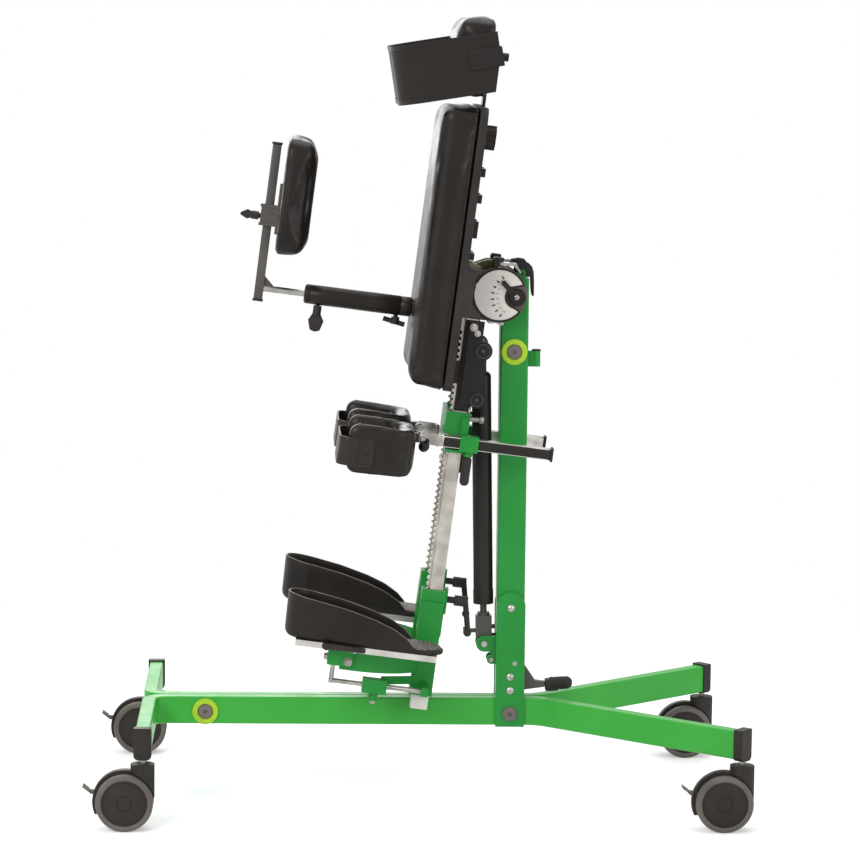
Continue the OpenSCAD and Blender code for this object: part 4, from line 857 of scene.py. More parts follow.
# %% Block of foam
def foam_block(low, high, corner, edges):
    """A block with round corners as seen from the front; edges are (place along U, radius)."""
    shape = bar(low, high, edge=0)
    along = [e for e in shape.edges if abs((e.verts[0].co - e.verts[1].co).normalized().x) > 0.9]
    rounded(shape, along, corner, 8)
    for place, radius in edges:
        rim = [e for e in shape.edges if all(abs(v.co.x - place) < 0.01 for v in e.verts)]
        rounded(shape, rim, radius, 5)
    return shape


TO_BOARD = BOARD.inverted()


def behind(place, sign=1):
    """Says whether a point in metres lies behind a place along U."""
    return lambda co: sign * ((TO_BOARD @ co).x - place) > 0


print("a block of foam starts with",
      faces_of(foam_block((0, 0, 0), (60, 200, 300), 20, [(0, 10)])), "faces")


# %% Trunk, chest and back pads
trunk = piece(foam_block((-172.5, -162, -173), (-112, 162, 325), 20, [(-172.5, 15), (-112, 7)]),
              "trunk_pad", black_vinyl, "board", crisp=60)
swell(trunk, behind(-114), cap_mm=5.5, voxel_mm=6)
tunnel = turned([(0, 0), (9.9, 0), (9.9, 120), (0, 120)], (-200, 0, -46), (1, 0, 0))
cut(trunk, tunnel)
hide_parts("trunk_cushion")

chest = piece(foam_block((-165, -145, 346), (-104, 145, 479), 22, [(-165, 15), (-104, 7)]),
              "chest_pad_cover", black_vinyl, "chest", crisp=60)
swell(chest, behind(-106), cap_mm=5, voxel_mm=5)
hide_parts("chest_pad")

back_cover = piece(foam_block((-436, -122.5, 24), (-386, 122.5, 230), 26, [(-386, 18), (-436, 9)]),
                   "back_pad_cover", black_vinyl, "back", crisp=60)
swell(back_cover, behind(-434, -1), cap_mm=6, voxel_mm=5)
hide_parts("back_pad")
for made, u, body in ((trunk, -118, "board"), (chest, -110, "chest"), (back_cover, -430, "back")):
    piping = piece(welt(made, (u, 0, 0), (1, 0, 0), 1.3), f"{made.name}_piping", soft_vinyl, body)
    print(measured(made), "with a piping of", len(piping.data.vertices), "points")


# %% [markdown]
# A knee cup is one long cushion bent into a U round the knee. Its section, an upright
# rectangle, is swept along the near wing, round the corner, across the base and along the
# far wing. Its edges are rounded, and then the foam pushes the cover out.


# %% Straight runs and corners
def sweep(shape, moving, moves):
    """Extrudes (vector) or spins (centre, degrees, steps) the geometry that moves on."""
    for move in moves:
        if len(move) == 1:
            if only(moving, FACE):
                grown = bmesh.ops.extrude_face_region(shape, geom=moving)["geom"]
            else:
                grown = bmesh.ops.extrude_edge_only(shape, edges=only(moving, EDGE))["geom"]
            points = only(grown, POINT)
            known = set(points)
            bmesh.ops.translate(shape, verts=points, vec=move[0])
            moving = points + [g for g in only(grown, EDGE) + only(grown, FACE)
                               if set(g.verts) <= known]
        else:
            centre, degrees, steps = move
            moving = bmesh.ops.spin(shape, geom=moving, cent=centre, axis=(0, 0, 1),
                                    dvec=(0, 0, 0), angle=math.radians(degrees), steps=steps,
                                    use_merge=False)["geom_last"]
    return shape


trial = bmesh.new()
pair = [trial.verts.new((0, 0, z)) for z in (0, 10)]
sweep(trial, pair + [trial.edges.new(pair)], [((20, 0, 0),), ((20, 20, 0), 90, 6)])
print("a run and a corner in six steps have", faces_of(trial), "faces")

# %% [markdown]
# The cup's drawing starts from the tip of its near wing. The wings' free ends are rounded
# more than the other edges, because a knee rubs there.

# %% The drawing of a cup
KNEE_Y = -113  # the middle of a knee
CUP_W = -288  # the middle of a cup's height


def cup_padding(half_t=12.5, half_h=44):
    tip, bend, wing_y, corner = -268, -188, 64, 24
    y = KNEE_Y
    shape = bmesh.new()
    corners = [shape.verts.new((tip, y - wing_y + a, CUP_W + b)) for a, b in
               ((-half_t, -half_h), (half_t, -half_h), (half_t, half_h), (-half_t, half_h))]
    section = shape.faces.new(corners)
    inside = wing_y - corner
    grown = bmesh.ops.extrude_face_region(shape, geom=[section])["geom"]
    bmesh.ops.translate(shape, verts=only(grown, POINT), vec=(bend - tip, 0, 0))
    end = only(grown, FACE)
    end = end + list(end[0].edges) + list(end[0].verts)
    sweep(shape, end, [((bend, y - inside, 0), 90, 6), ((0, 2 * inside, 0),),
                       ((bend, y + inside, 0), 90, 6), ((tip - bend, 0, 0),)])
    bmesh.ops.remove_doubles(shape, verts=shape.verts, dist=0.01)
    bmesh.ops.recalc_face_normals(shape, faces=shape.faces)
    tips = [e for e in shape.edges if all(abs(v.co.x - tip) < 0.01 for v in e.verts)
            and abs(e.verts[0].co.z - e.verts[1].co.z) < 0.01]
    rounded(shape, tips, 18, 5)
    rims = [e for e in shape.edges if len(e.link_faces) == 2
            and e.calc_face_angle(0) > math.radians(50)]
    rounded(shape, rims, 9, 3, clamp=True)
    return shape


print("a cup's drawing has", faces_of(cup_padding()), "faces")

# %% Knee cups
for side in SIDES:
    cup = piece(sided(cup_padding(), side), f"knee_cup_{side}_padding", soft_vinyl,
                f"knee_pad_{side}", crisp=60)
    swell(cup, behind(-151), pressure=4.5, cap_mm=4.5, voxel_mm=5)
    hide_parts(f"knee_cup_{side}")
    print(measured(cup))

# %% [markdown]
# Behind each cup a pressed plate carries a lug, which turns on the pin of the bar's fork. The bar
# itself is bright square tube, with a thin black strip on its outer face that paints its dark
# reflection there, a moulded end cap, and a steel fork in front with a glossy ball nut.

# %% Lugs behind the cups
PIN = (-133, -84, -268)  # the pin on which a cup tilts, in the bar's middle
for side in SIDES:
    lug = join(bar((-158, -119, -306), (-146.5, -79, -264), 2),
               bar((-148, -91.7, -276), (-133, -76.3, -260), 1))
    join(lug, turned([(5.05, -7.7), (8, -7.7), (8, 7.7), (5.05, 7.7), (5.05, -7.7)],
                     PIN, (0, 1, 0)))
    for w in (-299, -281):
        join(lug, turned([(0, 0), (3.4, 0), (3.4, 1.4), (2.4, 2.2), (0, 2.2)],
                         (-158, -104, w), (-1, 0, 0), 20))
    lug_piece = piece(sided(lug, side), f"knee_cup_{side}_lug", grey_coat, f"knee_pad_{side}")
    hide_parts(f"knee_cup_{side}")
print(measured(lug_piece))

# %% Bars, forks and ball nuts
for side in SIDES:
    tube = bar((-99, -94, -278), (95.9, -74, -258), 1.6)
    # The black strip over the tube's outer face is a painted dark reflection of the polished
    # steel.
    dark_reflection_strip = bar((-96, -94.5, -276.4), (95, -93.4, -259.6), 0.3)
    end_cap = bar((96, -96.5, -280.5), (100, -71.5, -255.5), 1.2)
    join(end_cap, bar((91, -93.9, -277.9), (96.2, -74.1, -258.1), 0.4))

    fork = bar((-104, -95.7, -277), (-98, -72.3, -259), 1)
    for y in (-94, -74):
        join(fork, plate([(-133 + 9 * math.cos(a), -268 + 9 * math.sin(a)) for a in
                          [math.radians(90 + 15 * i) for i in range(13)]]
                         + [(-103, -277), (-103, -259)], y - 1.7, y + 1.7, 0.5))
    join(fork, turned([(0, -18), (4.2, -18), (5, -17), (5, 13), (4.2, 14), (0, 14)],
                      PIN, (0, 1, 0), 32))
    join(fork, turned([(0, 0), (7.2, 0), (7.2, 4.4), (6, 5.6), (0, 5.6)],
                      (-133, -72.3, -268), (0, 1, 0), 6))
    ball = turned([(0, -10.4), (3.4, -10), (7.2, -7.2), (9.6, -2), (9.4, 3), (6.6, 7.4),
                   (4.8, 9.8), (4.8, 14), (0, 14)], (-130, -102.5, -280), (0.25, 0.35, 0.6))
    for label, shape, material in (("tube", tube, bright_tube), ("dark_reflection_strip", dark_reflection_strip, black_coat),
                                   ("end_cap", end_cap, black_nylon),
                                   ("fork", fork, zinc_plate), ("ball", ball, gloss_abs)):
        made = piece(sided(shape, side), f"knee_bar_{side}_{label}", material, f"knee_arm_{side}")
        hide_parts(f"knee_bar_{side}")
        print(measured(made))

# %% [markdown]
# A belt or strap is a band that runs round a rounded corner. Its edge is a row of points,
# extruded along the straight parts and spun round the corners, and Solidify gives the
# thickness. Rows of points up the height let it wave a little, as webbing does.


# %% A band on a rounded path
def band(start, half_high, rows, moves):
    """A thin upright skin, from a first edge at start, along straight runs and corners."""
    shape = bmesh.new()
    points = [shape.verts.new((start[0], start[1], start[2] + half_high * (2 * i / rows - 1)))
              for i in range(rows + 1)]
    edges = [shape.edges.new(pair) for pair in zip(points, points[1:])]
    return sweep(shape, points + edges, moves)


def runs(vector, steps):
    return [(tuple(c / steps for c in vector),)] * steps


def thicken(obj, thick_mm, offset=0.0, edge=0.6):
    wall = obj.modifiers.new("thickness", "SOLIDIFY")
    wall.thickness = thick_mm * MM
    wall.offset = offset
    break_edges(obj, edge, 50)
    apply_modifiers(obj)
    return obj


def wave(shape, reach, amount, seed):
    """Small soft waves out of the plane, from seeded places and sizes."""
    rng = random.Random(seed)
    humps = [(Vector((rng.uniform(-1, 1), rng.uniform(-1, 1), rng.uniform(-1, 1))) * reach,
              rng.uniform(0.3, 1) * amount, rng.uniform(0.25, 0.5) * reach)
             for i in range(14)]
    shape.normal_update()
    middle = sum((v.co for v in shape.verts), Vector()) / len(shape.verts)
    moves = []
    for v in shape.verts:
        push = sum(high * math.exp(-((v.co - middle - spot).length / wide) ** 2)
                   for spot, high, wide in humps)
        moves.append(v.normal * push)
    for v, move in zip(shape.verts, moves):
        v.co += move


print("a short band has", faces_of(band((0, 0, 0), 25, 8, runs((40, 0, 0), 4))), "faces")

# %% Knee straps
for side in SIDES:
    y, half, corner, u0, reach = KNEE_Y, 80.7, 20, -224, -282
    loop = band((u0, y - half, -294), 25, 8,
                runs((reach + corner - u0, 0, 0), 8)
                + [((reach + corner, y - half + corner, 0), -90, 8)]
                + runs((0, 2 * (half - corner), 0), 16)
                + [((reach + corner, y + half - corner, 0), -90, 8)]
                + runs((u0 - reach - corner, 0, 0), 8))
    wave(loop, 60, 0.9, 7)
    strap = piece(sided(loop, side), f"knee_strap_{side}_band", strap_leather,
                  f"knee_pad_{side}", crisp=60)
    thicken(strap, 3.0)
    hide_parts(f"knee_strap_{side}")

    patch = band((u0 + 4, y - half - 2.3, -293), 20, 6, runs((-27, 0, 0), 6))
    patch_piece = piece(sided(patch, side), f"knee_strap_{side}_patch", strap_leather,
                        f"knee_pad_{side}", crisp=60)
    thicken(patch_piece, 1.8)
    rivet = turned([(0, 2.6), (1.6, 2.6), (2.0, 1.9), (3.2, 1.9), (4.4, 1.2), (4.6, 0), (0, 0)],
                   (u0 - 10, y - half - 3, -294), (0, -1, 0), 32)
    piece(sided(rivet, side), f"knee_strap_{side}_rivet", gloss_abs, f"knee_pad_{side}")
    ends = [((u0 + 1, -311), (u0 + 1, -275)), ((u0 + 1, -311), (u0 - 20, -311)),
            ((u0 + 1, -275), (u0 - 20, -275))]
    piece(sided(sewn(ends, y - half - 3.4, 3.6), side), f"knee_strap_{side}_stitching", thread,
          f"knee_pad_{side}", crisp=80)
print(measured(strap))

# %% [markdown]
# The chest belt is a wide band of neoprene faced with knit. It hangs down a little from its
# anchor behind the chest pad. A tape binds its two long edges, and a webbing strap is sewn
# on each end, which runs on to the clamp behind the pad.

# %% Chest belt
BELT = BOARD @ Matrix.Translation((-88, 0, 411)) @ Matrix.Rotation(math.radians(-16), 4, "Y")
CROSSED_BOX = [((-50, -6), (-50, 22)), ((-30, -6), (-30, 22)), ((-50, 22), (-30, 22)),
               ((-50, -6), (-30, -6)), ((-50, -6), (-30, 22)), ((-50, 22), (-30, -6))]


def belt_path(half, reach, corner):
    """Runs and corners from the near end, round the user's back, to the far end."""
    return (runs((corner - reach, 0, 0), 14) + [((corner - reach, corner - half, 0), -90, 12)]
            + runs((0, 2 * (half - corner), 0), 24)
            + [((corner - reach, half - corner, 0), -90, 12)]
            + runs((reach - corner, 0, 0), 14))


def trimmed(shape):
    """Cuts off what would stand out beyond the rear of the chest pad."""
    bmesh.ops.transform(shape, matrix=TO_BOARD @ BELT, verts=shape.verts)
    bmesh.ops.bisect_plane(shape, geom=shape.verts[:] + shape.edges[:] + shape.faces[:],
                           plane_co=(-91, 0, 0), plane_no=(1, 0, 0), clear_outer=True)
    return shape


loop = band((0, -153, 0), 50.5, 12, belt_path(153, 184, 58))
wave(loop, 150, 1.6, 21)
belt = piece(trimmed(loop), "chest_belt_band", belt_knit, "chest", crisp=60)
thicken(belt, 3.4, edge=1.2)
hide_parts("chest_belt")
for name, place in (("upper", 47.5), ("lower", -47.5)):
    tape = band((0, -154.9, place), 4.2, 2, belt_path(154.9, 185.9, 59))
    tape_piece = piece(trimmed(tape), f"chest_belt_{name}_binding", black_webbing, "chest",
                       crisp=60)
    thicken(tape_piece, 0.8, edge=0.2)
    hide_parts("chest_belt")
for side in SIDES:
    strap = band((4, -156.6, 8), 17, 6, runs((-58, 0, 0), 10))
    strap_piece = piece(sided(strap, side), f"chest_belt_strap_{side}", black_webbing, "chest",
                        space=BELT, crisp=60)
    thicken(strap_piece, 1.8, edge=0.3)
    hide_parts("chest_belt")
    piece(sided(sewn(CROSSED_BOX, -157.8, 3.4), side), f"chest_belt_stitching_{side}", thread,
          "chest", space=BELT, crisp=80)
print(measured(belt))

# %% [markdown]
# The arm is a steel tube in a padded sleeve. A plain rod slides in it, bright from use, with
# an upright of painted square tube welded to its end. The sleeve is turned, with a rolled
# end and a stitched ring near each end.

# %% Padded sleeve and sliding rod
rings = [(9.7, 0), (13.5, 0), (16.6, 1.6), (17.6, 4.5), (17.6, 9), (16.8, 10), (17.6, 11)]
rings += [(17.9, 40), (17.6, 80), (17.9, 120), (17.6, 173), (16.8, 174), (17.6, 175)]
rings += [(17.6, 190), (16.6, 193.4), (13.5, 195), (9.7, 195), (9.7, 0)]
sleeve = piece(turned(rings, (-373.6, 0, -46), (1, 0, 0), 56), "arm_sleeve_padding",
               soft_vinyl, "board", crisp=50)
for u in (-206, -347):
    cut(sleeve, turned([(0, -30), (5.6, -30), (5.6, 0), (0, 0)], (u, 0, -46)))
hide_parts("arm_sleeve")

rod = turned([(0, 0), (6, 0), (6, 284.2), (5.2, 285), (0, 285)], (-455, 0, -46), (1, 0, 0), 40)
post = bar((-463, -8, -66), (-447, 8, 212), 1.4)
join(post, plate([(-455, -46), (-425, -46), (-428, -42), (-444, -27), (-447, -24), (-455, -24)],
                 -3, 3, 0.6))
ends = bar((-464.5, -9.5, -70), (-445.5, 9.5, -66), 1)
join(ends, bar((-464.5, -9.5, 212), (-445.5, 9.5, 216), 1))
for name, shape, material in (("arm_rod_bar", rod, zinc_plate),
                              ("arm_upright", post, upright_steel),
                              ("arm_upright_caps", ends, black_nylon)):
    made = piece(shape, name, material, "back_arm")
    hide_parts("arm_rod")
    print(measured(made))

# %% [markdown]
# A sandal is a moulded sole with a wall of thick leather round the heel, which falls away
# towards the toes. The wall is swept as rows of points round the sole's outline; each row is
# then lifted to its share of the height there, and leans out as the real wall does.

# %% Wall heights of a sandal
SANDAL_TOP = [(-340, 79), (-325, 78), (-280, 72), (-230, 64), (-180, 52), (-145, 40),
              (-120, 26), (-104, 11), (-98, 3)]
HEEL_U, HEEL_R, TOE_U, TOE_R = -288, 44, -97, 47
SOLE_W, SANDAL_Y = -638, -138


def wall_height(u):
    for (a, ha), (b, hb) in zip(SANDAL_TOP, SANDAL_TOP[1:]):
        if u <= b:
            share = min(max((u - a) / (b - a), 0), 1)
            return ha + (hb - ha) * share
    return SANDAL_TOP[-1][1]


def sole(low, high, grow, edge, heel_less=0):
    """The flat outline of the sole: two half rounds and straight sides."""
    shape = bmesh.new()
    first = shape.verts.new((HEEL_U, -HEEL_R - grow + heel_less, low))
    moving = sweep_points(shape, [first], (HEEL_U, 0, 0), -180, 20)
    moving = [shape.verts.new((TOE_U, TOE_R + grow, low))]
    sweep_points(shape, moving, (TOE_U, 0, 0), -180, 20)
    hull = bmesh.ops.contextual_create(shape, geom=ring_edges(shape))["faces"]
    grown = bmesh.ops.extrude_face_region(shape, geom=hull)["geom"]
    bmesh.ops.translate(shape, verts=only(grown, POINT), vec=(0, 0, high - low))
    rim = [e for e in shape.edges if len(e.link_faces) == 2
           and e.calc_face_angle(0) > math.radians(60)]
    rounded(shape, rim, edge, 3)
    bmesh.ops.translate(shape, verts=shape.verts, vec=(0, SANDAL_Y, 0))
    return shape


def sweep_points(shape, points, centre, degrees, steps):
    return bmesh.ops.spin(shape, geom=points, cent=centre, axis=(0, 0, 1), dvec=(0, 0, 0),
                          angle=math.radians(degrees), steps=steps,
                          use_merge=False)["geom_last"]


def ring_edges(shape):
    """Closes two open rows of points into one ring of edges."""
    ends = [v for v in shape.verts if len(v.link_edges) == 1]
    ends.sort(key=lambda v: (v.co.y > 0, v.co.x))
    shape.edges.new((ends[0], ends[1]))
    shape.edges.new((ends[2], ends[3]))
    return shape.edges[:]


print("wall at the heel", wall_height(HEEL_U), "and at the toes", wall_height(TOE_U))

# %% Sandals
for side in SIDES:
    body = f"shoe_{side}"
    wall = band((-97, -46.5, 0), 1, 12,
                runs((HEEL_U - TOE_U, 46.5 - HEEL_R, 0), 26)
                + [((HEEL_U, 0, 0), -180, 32)]
                + runs((TOE_U - HEEL_U, 46.5 - HEEL_R, 0), 26))
    for v in wall.verts:
        share = ((v.co.z + 1) / 2) ** 1.6
        height = 2 + (wall_height(v.co.x) - 2) * share
        under = min(max((13 - height) / 13, 0), 0.98)
        heelward = min(max((TOE_U - v.co.x) / (TOE_U - HEEL_U), 0), 1)
        lean_out = 1 + 0.035 * share - 0.3 * heelward * (1 - math.sqrt(1 - under ** 2))
        v.co.y *= lean_out
        v.co.x = HEEL_U + (v.co.x - HEEL_U) * (lean_out if v.co.x < HEEL_U else 1)
        v.co.z = SOLE_W + height
    top_line = [v.co.copy() for v in wall.verts if len(v.link_edges) == 3 and v.co.z
                > SOLE_W + 0.98 * wall_height(v.co.x)]
    bmesh.ops.translate(wall, verts=wall.verts, vec=(0, SANDAL_Y, 0))
    shell = piece(sided(wall, side, FAR_LIFT, FAR_BACK), f"sandal_{side}_wall", sandal_eva, body,
                  crisp=60)
    thicken(shell, 3.6, edge=0.8)
    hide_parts(f"sandal_{side}")

    outline = sorted(top_line, key=lambda p: math.atan2(p.y, -(p.x + 200)))
    # The rim wire along the wall's top is pale: a painted highlight on that edge.
    rim = bent_wire([(p.x, p.y + SANDAL_Y, p.z) for p in outline], 1.0, sides=2, smooth=False)
    base = sole(SOLE_W + 0.2, SOLE_W + 8, 0, 2.2, 9)
    tongue = sole(SOLE_W + 7.6, SOLE_W + 11, -5, 0.5)
    for label, shape, material in (("rim", rim, rim_highlight_band), ("sole", base, sandal_eva),
                                   ("insole", tongue, chequer_rubber)):
        made = piece(sided(shape, side, FAR_LIFT, FAR_BACK), f"sandal_{side}_{label}", material,
                     body)
        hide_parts(f"sandal_{side}")
    print(measured(shell))

# %% [markdown]
# Each castor has two wheels: a grey polyurethane tyre cast round a charcoal nylon disc. The
# disc is turned with a raised rim, a shallow dish and a hub cap.

# %% Castor wheels
CASTORS = {"front": (-652, 306), "rear": (387, 294)}
TRAIL, WHEEL_R = 31, 50
TYRE = [(40.2, 1.2), (41.5, 0.4), (45.5, 0), (48.6, 1.5), (50, 5), (50, 13), (48.6, 16.5),
        (45.5, 18), (41.6, 17.6), (40.2, 16.6), (40.2, 1.2)]
DISC = [(0, 0.6), (39.8, 0.6), (39.8, 16.8), (38.6, 17.4), (37.4, 17.2), (36.6, 16.0),
        (34, 16.3), (14, 16.9), (13.4, 16.2), (12.4, 16.2), (11.8, 17.1), (6, 17.6), (0, 17.7)]
for end, (x, track) in CASTORS.items():
    for side, sign in SIDES.items():
        axle = (x - TRAIL, sign * track, WHEEL_R)
        tyres, discs = bmesh.new(), turned([(0, -8.1), (5, -8.1), (5, 8.1), (0, 8.1)], axle,
                                           (0, 1, 0), 24)
        for way in (-1, 1):
            place = (axle[0], axle[1] + way * 8.3, axle[2])
            join(tyres, turned(TYRE, place, (0, way, 0), 72))
            join(discs, turned(DISC, place, (0, way, 0), 72))
        name = f"castor_{end}_{side}"
        for label, shape, material in (("tyres", tyres, tread_pu),
                                       ("discs", discs, castor_nylon)):
            made = piece(shape, f"{name}_{label}", material, f"{name}_roll", space=FRAME)
            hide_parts(f"{name}_wheels")
print("castors", len(CASTORS) * len(SIDES), "with tyres of", 2 * WHEEL_R, "mm")

# %% [markdown]
# The foot pedal ends in a ribbed rubber grip, moulded with a square root and a round nose.
# The nose is turned, with its ribs in the profile, and a block with soft edges is the root.

# %% Pedal grip
GRIP = (FRAME @ Matrix.Translation((62, 0, 198)) @ Matrix.Rotation(math.radians(-3), 4, "Y"))
nose = [(0, 12), (11.4, 12)]
for k in range(5):
    h = 14 + 5.2 * k
    nose += [(12, h + 0.6), (12, h + 3.4), (11, h + 4.2), (11, h + 5)]
nose += [(12, 41), (11.2, 45.5), (8.6, 50), (4.6, 52.6), (0, 53)]
grip = turned(nose, (0, 0, 0), (1, 0, 0), 40)
join(grip, bar((3, -10, -13), (27, 10, 9), 3, 3))
grip_piece = piece(grip, "pedal_grip_rubber", rubber_grip, "pedal", space=GRIP)
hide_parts("pedal_grip")
print(measured(grip_piece))

# %% [markdown]
# The tilt scale is a pale plate in a black frame, which is cut away round the pointer's hub.
# The frame is one flat outline: arcs about the plate's middle and about the tilt axle.


# %% Frame of the scale
def arc(centre, radius, first, last, steps=24):
    turns = [math.radians(first + (last - first) * i / steps) for i in range(steps + 1)]
    return [(centre[0] + radius * math.cos(a), centre[1] + radius * math.sin(a)) for a in turns]


DIAL = (-30, 0)
line = (arc(DIAL, 44.7, 167, 325, 48) + arc((0, 0), 21, 261.9, 127.1)
        + arc(DIAL, 44.7, 31.6, 160, 40) + arc(DIAL, 48.4, 160, 28, 40)
        + arc((0, 0), 17.6, 107.5, 263.5) + arc(DIAL, 48.4, 328, 167, 48))
frame_piece = piece(plate(line, -60.3, -57.9), "scale_frame", ink_black, "board")
print(measured(frame_piece))

# %% [markdown]
# Eight marks stand 15 degrees apart on the scale, each with its plain number. Print has almost
# no height, so both are real shapes a tenth of a millimetre or more proud, and not bump.


# %% Marks and numbers of the scale
MARKS, MARK_STEP, FIRST_MARK = 8, 15, 131.7  # degrees


def number(text, size, place):
    """A plain number that faces the near side, as a drawing."""
    curve = bpy.data.curves.new("number", "FONT")
    curve.body, curve.size, curve.extrude, curve.resolution_u = text, size, 0.12, 3
    curve.align_x, curve.align_y = "CENTER", "CENTER"
    shape = drawn(curve, 0.0005)
    turn = Matrix.Translation(place) @ Matrix.Rotation(math.radians(90), 4, "X")
    bmesh.ops.transform(shape, matrix=turn, verts=shape.verts)
    return shape


marks, digits = bmesh.new(), bmesh.new()
for i in range(MARKS):
    a = math.radians(FIRST_MARK + MARK_STEP * i)
    out, over = Vector((math.cos(a), math.sin(a))), Vector((-math.sin(a), math.cos(a)))
    shape = [out * r + over * s for r, s in ((40, -1.5), (46, -0.8), (46, 0.8), (40, 1.5))]
    join(marks, plate([tuple(c) for c in shape], -59.95, -58.4, 0.12, 1))
    join(digits, number(str(MARK_STEP * i), 4.6, (34 * out.x, -59.7, 34 * out.y)))
piece(marks, "scale_marks", ink_black, "board")
piece(digits, "scale_numbers", number_ink, "board")
print("marks", MARKS, "up to", MARK_STEP * (MARKS - 1), "degrees")

# %% [markdown]
# The board turns with a collar, and the pointer's hub stays with the mast under a cap and a
# pan-head screw. They are turned, and two crossed bars are cut out of the screw's head.

# %% Hubs
collar = [(13.4, 0), (15.8, 0), (15.8, 1.7), (15.3, 2.2), (13.9, 2.2), (13.4, 1.7), (13.4, 0)]
cap = [(0, 0), (10.8, 0), (10.8, 0.9), (10.3, 1.4), (7.4, 1.4), (6.8, 0.8), (0, 0.8)]
screw = [(0, 0), (5.3, 0), (5.3, 0.9), (4.5, 2.0), (2.7, 2.8), (0, 3.1)]
for side in SIDES:
    piece(sided(turned(collar, (0, -58, 0), (0, -1, 0)), side), f"hub_collar_{side}", gloss_abs,
          "board")
    piece(sided(turned(cap, (0, -65.3, 0), (0, -1, 0)), side), f"hub_cap_{side}", gloss_abs,
          "base")
    head = piece(sided(turned(screw, (0, -66.1, 0), (0, -1, 0), 32), side),
                 f"hub_screw_{side}", zinc_plate, "base")
    for wide, high in ((3.2, 0.6), (0.6, 3.2)):
        cut(head, sided(bar((-wide, -71, -high), (wide, -67.7, high), 0), side))
print(measured(head))

# %% [markdown]
# On top of the heads sit an olive guard and the latch with its bright spring. They are
# pressed and moulded flat parts, so each is an outline measured in the side view.

# %% Guard, latch and springs
GUARD = [(-88, 36), (-88, 43), (-80.7, 46), (-67, 53.5), (-59.5, 57), (-49, 58.5), (-45, 52),
         (-47, 44), (-60, 36)]
GUARD_END = [(-89, 37), (-89, 47.8), (-82, 49), (-68, 45), (-64, 40), (-70, 36)]
LATCH = [(-47, 44), (-49, 62.5), (-46.4, 65.8), (-30.2, 65.8), (-29.2, 60), (-37, 58.5),
         (-38.5, 47)]
SPRING = [(-37, 52), (-36, 57), (-22, 58), (-8, 59.5), (-3, 52), (4, 43), (1, 41), (-8, 50),
          (-13, 54), (-24, 53), (-24, 46), (-31, 46), (-31, 52)]
CATCH = [(-45, -47), (-46, -50.5), (-41, -53.5), (-30, -51.3), (-18, -54.5), (-15, -52),
         (-18, -46), (-30, -48)]
for side in SIDES:
    for label, outline, y0, y1, material in (("guard", GUARD, -27, -16, olive_abs),
                                             ("guard_end", GUARD_END, -27.6, -15.4, pale_olive),
                                             ("latch", LATCH, -56, -36, black_nylon),
                                             ("latch_spring", SPRING, -50, -43, zinc_plate),
                                             ("latch_catch", CATCH, -50, -43, zinc_plate)):
        piece(sided(plate(outline, y0, y1, 0.8), side), f"{label}_{side}", material, "board")
    print(side, "guard, latch, spring and catch")

# %% [markdown]
# Between the heads lies the release lever: a thick head with a thin fin on top, and a long
# tongue that hangs behind the mast. Its lower front corner is cut away, so that it clears the
# mast when it is pulled.

# %% Release lever
LEVER = {"head": ([(6, 940.5), (-2, 948), (-1, 958), (5, 965), (14, 967), (24, 965), (31, 958),
                   (34, 948), (34, 941), (24, 939)], 9, 1.6),
         "fin": ([(-8, 967.5), (-7, 972), (6, 973.5), (16, 972), (21, 967), (10, 963),
                  (2, 964)], 7.5, 0.9),
         "tongue": ([(25, 950), (34, 950), (35, 928), (35, 906), (33, 903.5), (30, 908),
                     (28.6, 918), (27.5, 940)], 7, 1.0)}
grip = bmesh.new()
for outline, half, edge in LEVER.values():
    join(grip, plate([(x, z) for x, z in outline], -half, half, edge))
join(grip, turned([(0, -14), (2.9, -14), (2.9, 14), (0, 14)], (12, 0, 946), (0, 1, 0), 24))
lever_piece = piece(grip, "tilt_lever_grip", gloss_abs, "head_lever", space=FRAME)
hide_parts("tilt_lever")
print(measured(lever_piece))

# %% [markdown]
# The knee carriage locks with a sprung plunger on each side, and a split clip hangs from its
# lip. The plunger is turned, and the clip is bent from wire, as the real one is.

# %% Plungers and clips of the knee carriage
PLUNGER = [(0, 0), (4.8, 0), (4.8, 19.3), (7.3, 19.6), (7.3, 25.8), (6.4, 27), (0, 27)]
for side in SIDES:
    plunger = turned(PLUNGER, (-53.6, -41, -228), (1, 0, 0), 40)
    join(plunger, turned([(0, 0), (3.4, 0), (3.4, 11), (2.2, 13), (0, 13)], (-56.5, -54, -216),
                         (0, 0, 1), 24))
    piece(sided(plunger, side), f"knee_plunger_{side}", zinc_plate, "knees")

    clip = bent_wire([(-89, -88, -291), (-95, -94, -287.5), (-100, -95, -293),
                      (-97, -95, -302), (-91, -95, -299), (-92, -93.5, -291)], 1.3)
    join(clip, turned([(0, -0.5), (3.6, -0.5), (3.6, 8), (2.6, 9.4), (0, 9.4)],
                      (-88.2, -88, -285), (0, 0, -1), 24))
    piece(sided(clip, side), f"knee_clip_{side}", zinc_plate, "knees")
print("plungers and clips", 2 * len(SIDES))

# %% [markdown]
# Under each sandal a plated rod sets the plate's angle. It is bent square, threaded along its
# rear run, and held by nuts. The thread is a zigzag in the turned profile: rings look like a
# thread at this size, and cost far fewer faces than a helix.


# %% Adjusting rods and their nuts
def hexagon(start_at, along, radius=6.5, high=5):
    """A hexagon nut on a washer, with its corners turned off."""
    shape = turned([(0, 1.4), (radius, 1.4), (radius, high), (radius - 0.9, high + 0.8),
                    (0, high + 0.8)], start_at, along, 6)
    return join(shape, turned([(0, 0), (radius + 1.6, 0), (radius + 1.6, 1.4), (0, 1.4)],
                              start_at, along, 32))


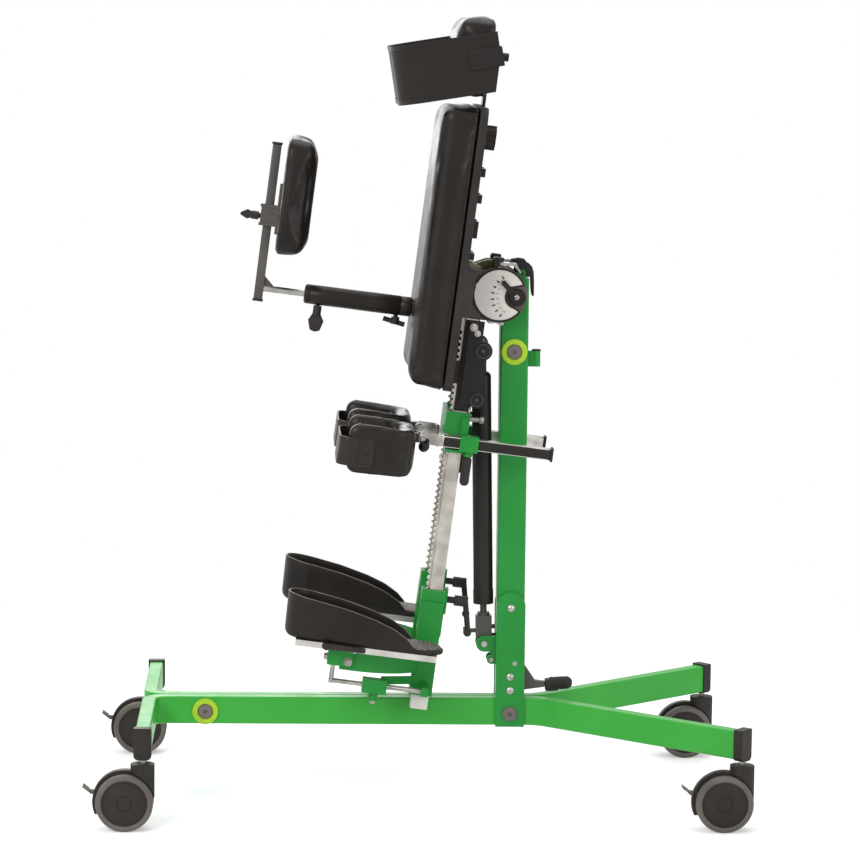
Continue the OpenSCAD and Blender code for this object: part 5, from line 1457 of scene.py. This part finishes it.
ROD_Y, ROD_W = -118, -715
THREAD_TURNS, THREAD_PITCH = 31, 2
for side in SIDES:
    rod = bmesh.new()
    for high, along in ((33, (0, 0, 1)), (56, (1, 0, 0))):
        join(rod, turned([(0, -4.3), (4.3, -4.3), (4.3, high), (0, high)], (-240, ROD_Y, ROD_W),
                         along, 32))
    thread_line = [(0, 0)]
    for k in range(THREAD_TURNS):
        thread_line += [(4.35, THREAD_PITCH * k), (4.9, THREAD_PITCH * k + 1)]
    end = THREAD_TURNS * THREAD_PITCH
    join(rod, turned(thread_line + [(4.35, end), (0, end)], (-140, ROD_Y, ROD_W), (1, 0, 0), 28))
    join(rod, hexagon((-162, ROD_Y, -742), (0, 0, -1), 5, 5))
    piece(sided(rod, side, FAR_LIFT), f"foot_rod_{side}", zinc_plate, f"foot_{side}")
    nuts = hexagon((-252, -133, -670), (-1, 0, 0), 5.5, 6)
    join(nuts, hexagon((-216, -154, -672), (0, -1, 0), 6, 5))
    join(nuts, hexagon((-208, -140, -655), (1, 0, 0), 5, 5))
    piece(sided(nuts, side, FAR_LIFT), f"foot_nuts_{side}", zinc_plate, f"foot_{side}")
print("thread", end, "mm long with a pitch of", THREAD_PITCH)

# %% [markdown]
# A capsule-shaped handle on the edge of each foot plate frees it. It is moulded nylon, so it
# is turned with a soft belly and round ends, and a boss joins it to the plate.

# %% Handles of the foot plates
for side in SIDES:
    handle = turned([(0, 0), (3.6, 0.3), (5.2, 2), (5.9, 7), (5.6, 30), (5, 68), (5, 73),
                     (3.9, 76.4), (0, 77.4)], (-265.5, -183.5, -643), (1, 0, 0), 32)
    join(handle, turned([(0, 0), (6.4, 0), (6.4, 6.6), (5.2, 7.8), (0, 7.8)],
                        (-258, -183.5, -643), (0, -1, 0), 32))
    handle_piece = piece(sided(handle, side, FAR_LIFT), f"foot_plate_handle_{side}", black_nylon,
                         f"shoe_{side}")
print(measured(handle_piece))

# %% [markdown]
# The spine tubes are closed by white plugs below and covered in black above, where the strut's
# bracket grips them. Thin grey rims round the bracket's bosses are painted highlight on their
# edges, and two bolts finish it.

# %% Ends and covers of the spine tubes
for side in SIDES:
    plug = bar((-90.5, -63.2, -759), (-59.4, -36.8, -732), 1.6, 3)
    piece(sided(plug, side), f"spine_plug_{side}", white_nylon, "board")
    cover = bar((-83.8, -63.3, -214), (-59.2, -36.7, -50), 0.6)
    piece(sided(cover, side), f"spine_cover_{side}", black_coat, "board")
    # The grey rims and centres on the black bosses are painted highlight, where their edges catch
    # the light.
    painted_boss_rims = bmesh.new()
    for w, r in ((-102, 13), (-190, 12)):
        join(painted_boss_rims, turned([(r - 1.3, 0), (r, 0), (r, 0.8), (r - 0.6, 1.2), (r - 1.3, 0.8),
                             (r - 1.3, 0)], (-46.25, -70.9, w), (0, -1, 0)))
        join(painted_boss_rims, turned([(0, 0), (3, 0), (2.4, 0.8), (0, 0.8)], (-46.25, -70.9, w),
                            (0, -1, 0), 24))
    piece(sided(painted_boss_rims, side), f"boss_rims_{side}", grey_coat, "board")
    bolts = hexagon((-68, -69, -62), (0, -1, 0), 5.5, 5)
    join(bolts, hexagon((-60, -69, -72), (0, -1, 0), 4, 4))
    piece(sided(bolts, side), f"bracket_bolts_{side}", zinc_plate, "board")

rim = turned([(4.1, 0), (8.3, 0), (8.3, 2), (7.6, 2.8), (4.1, 2.8), (4.1, 0)], (41, 0, 806),
             (0, 0, 1), 40)
piece(rim, "socket_rim", black_nylon, "base", space=FRAME)
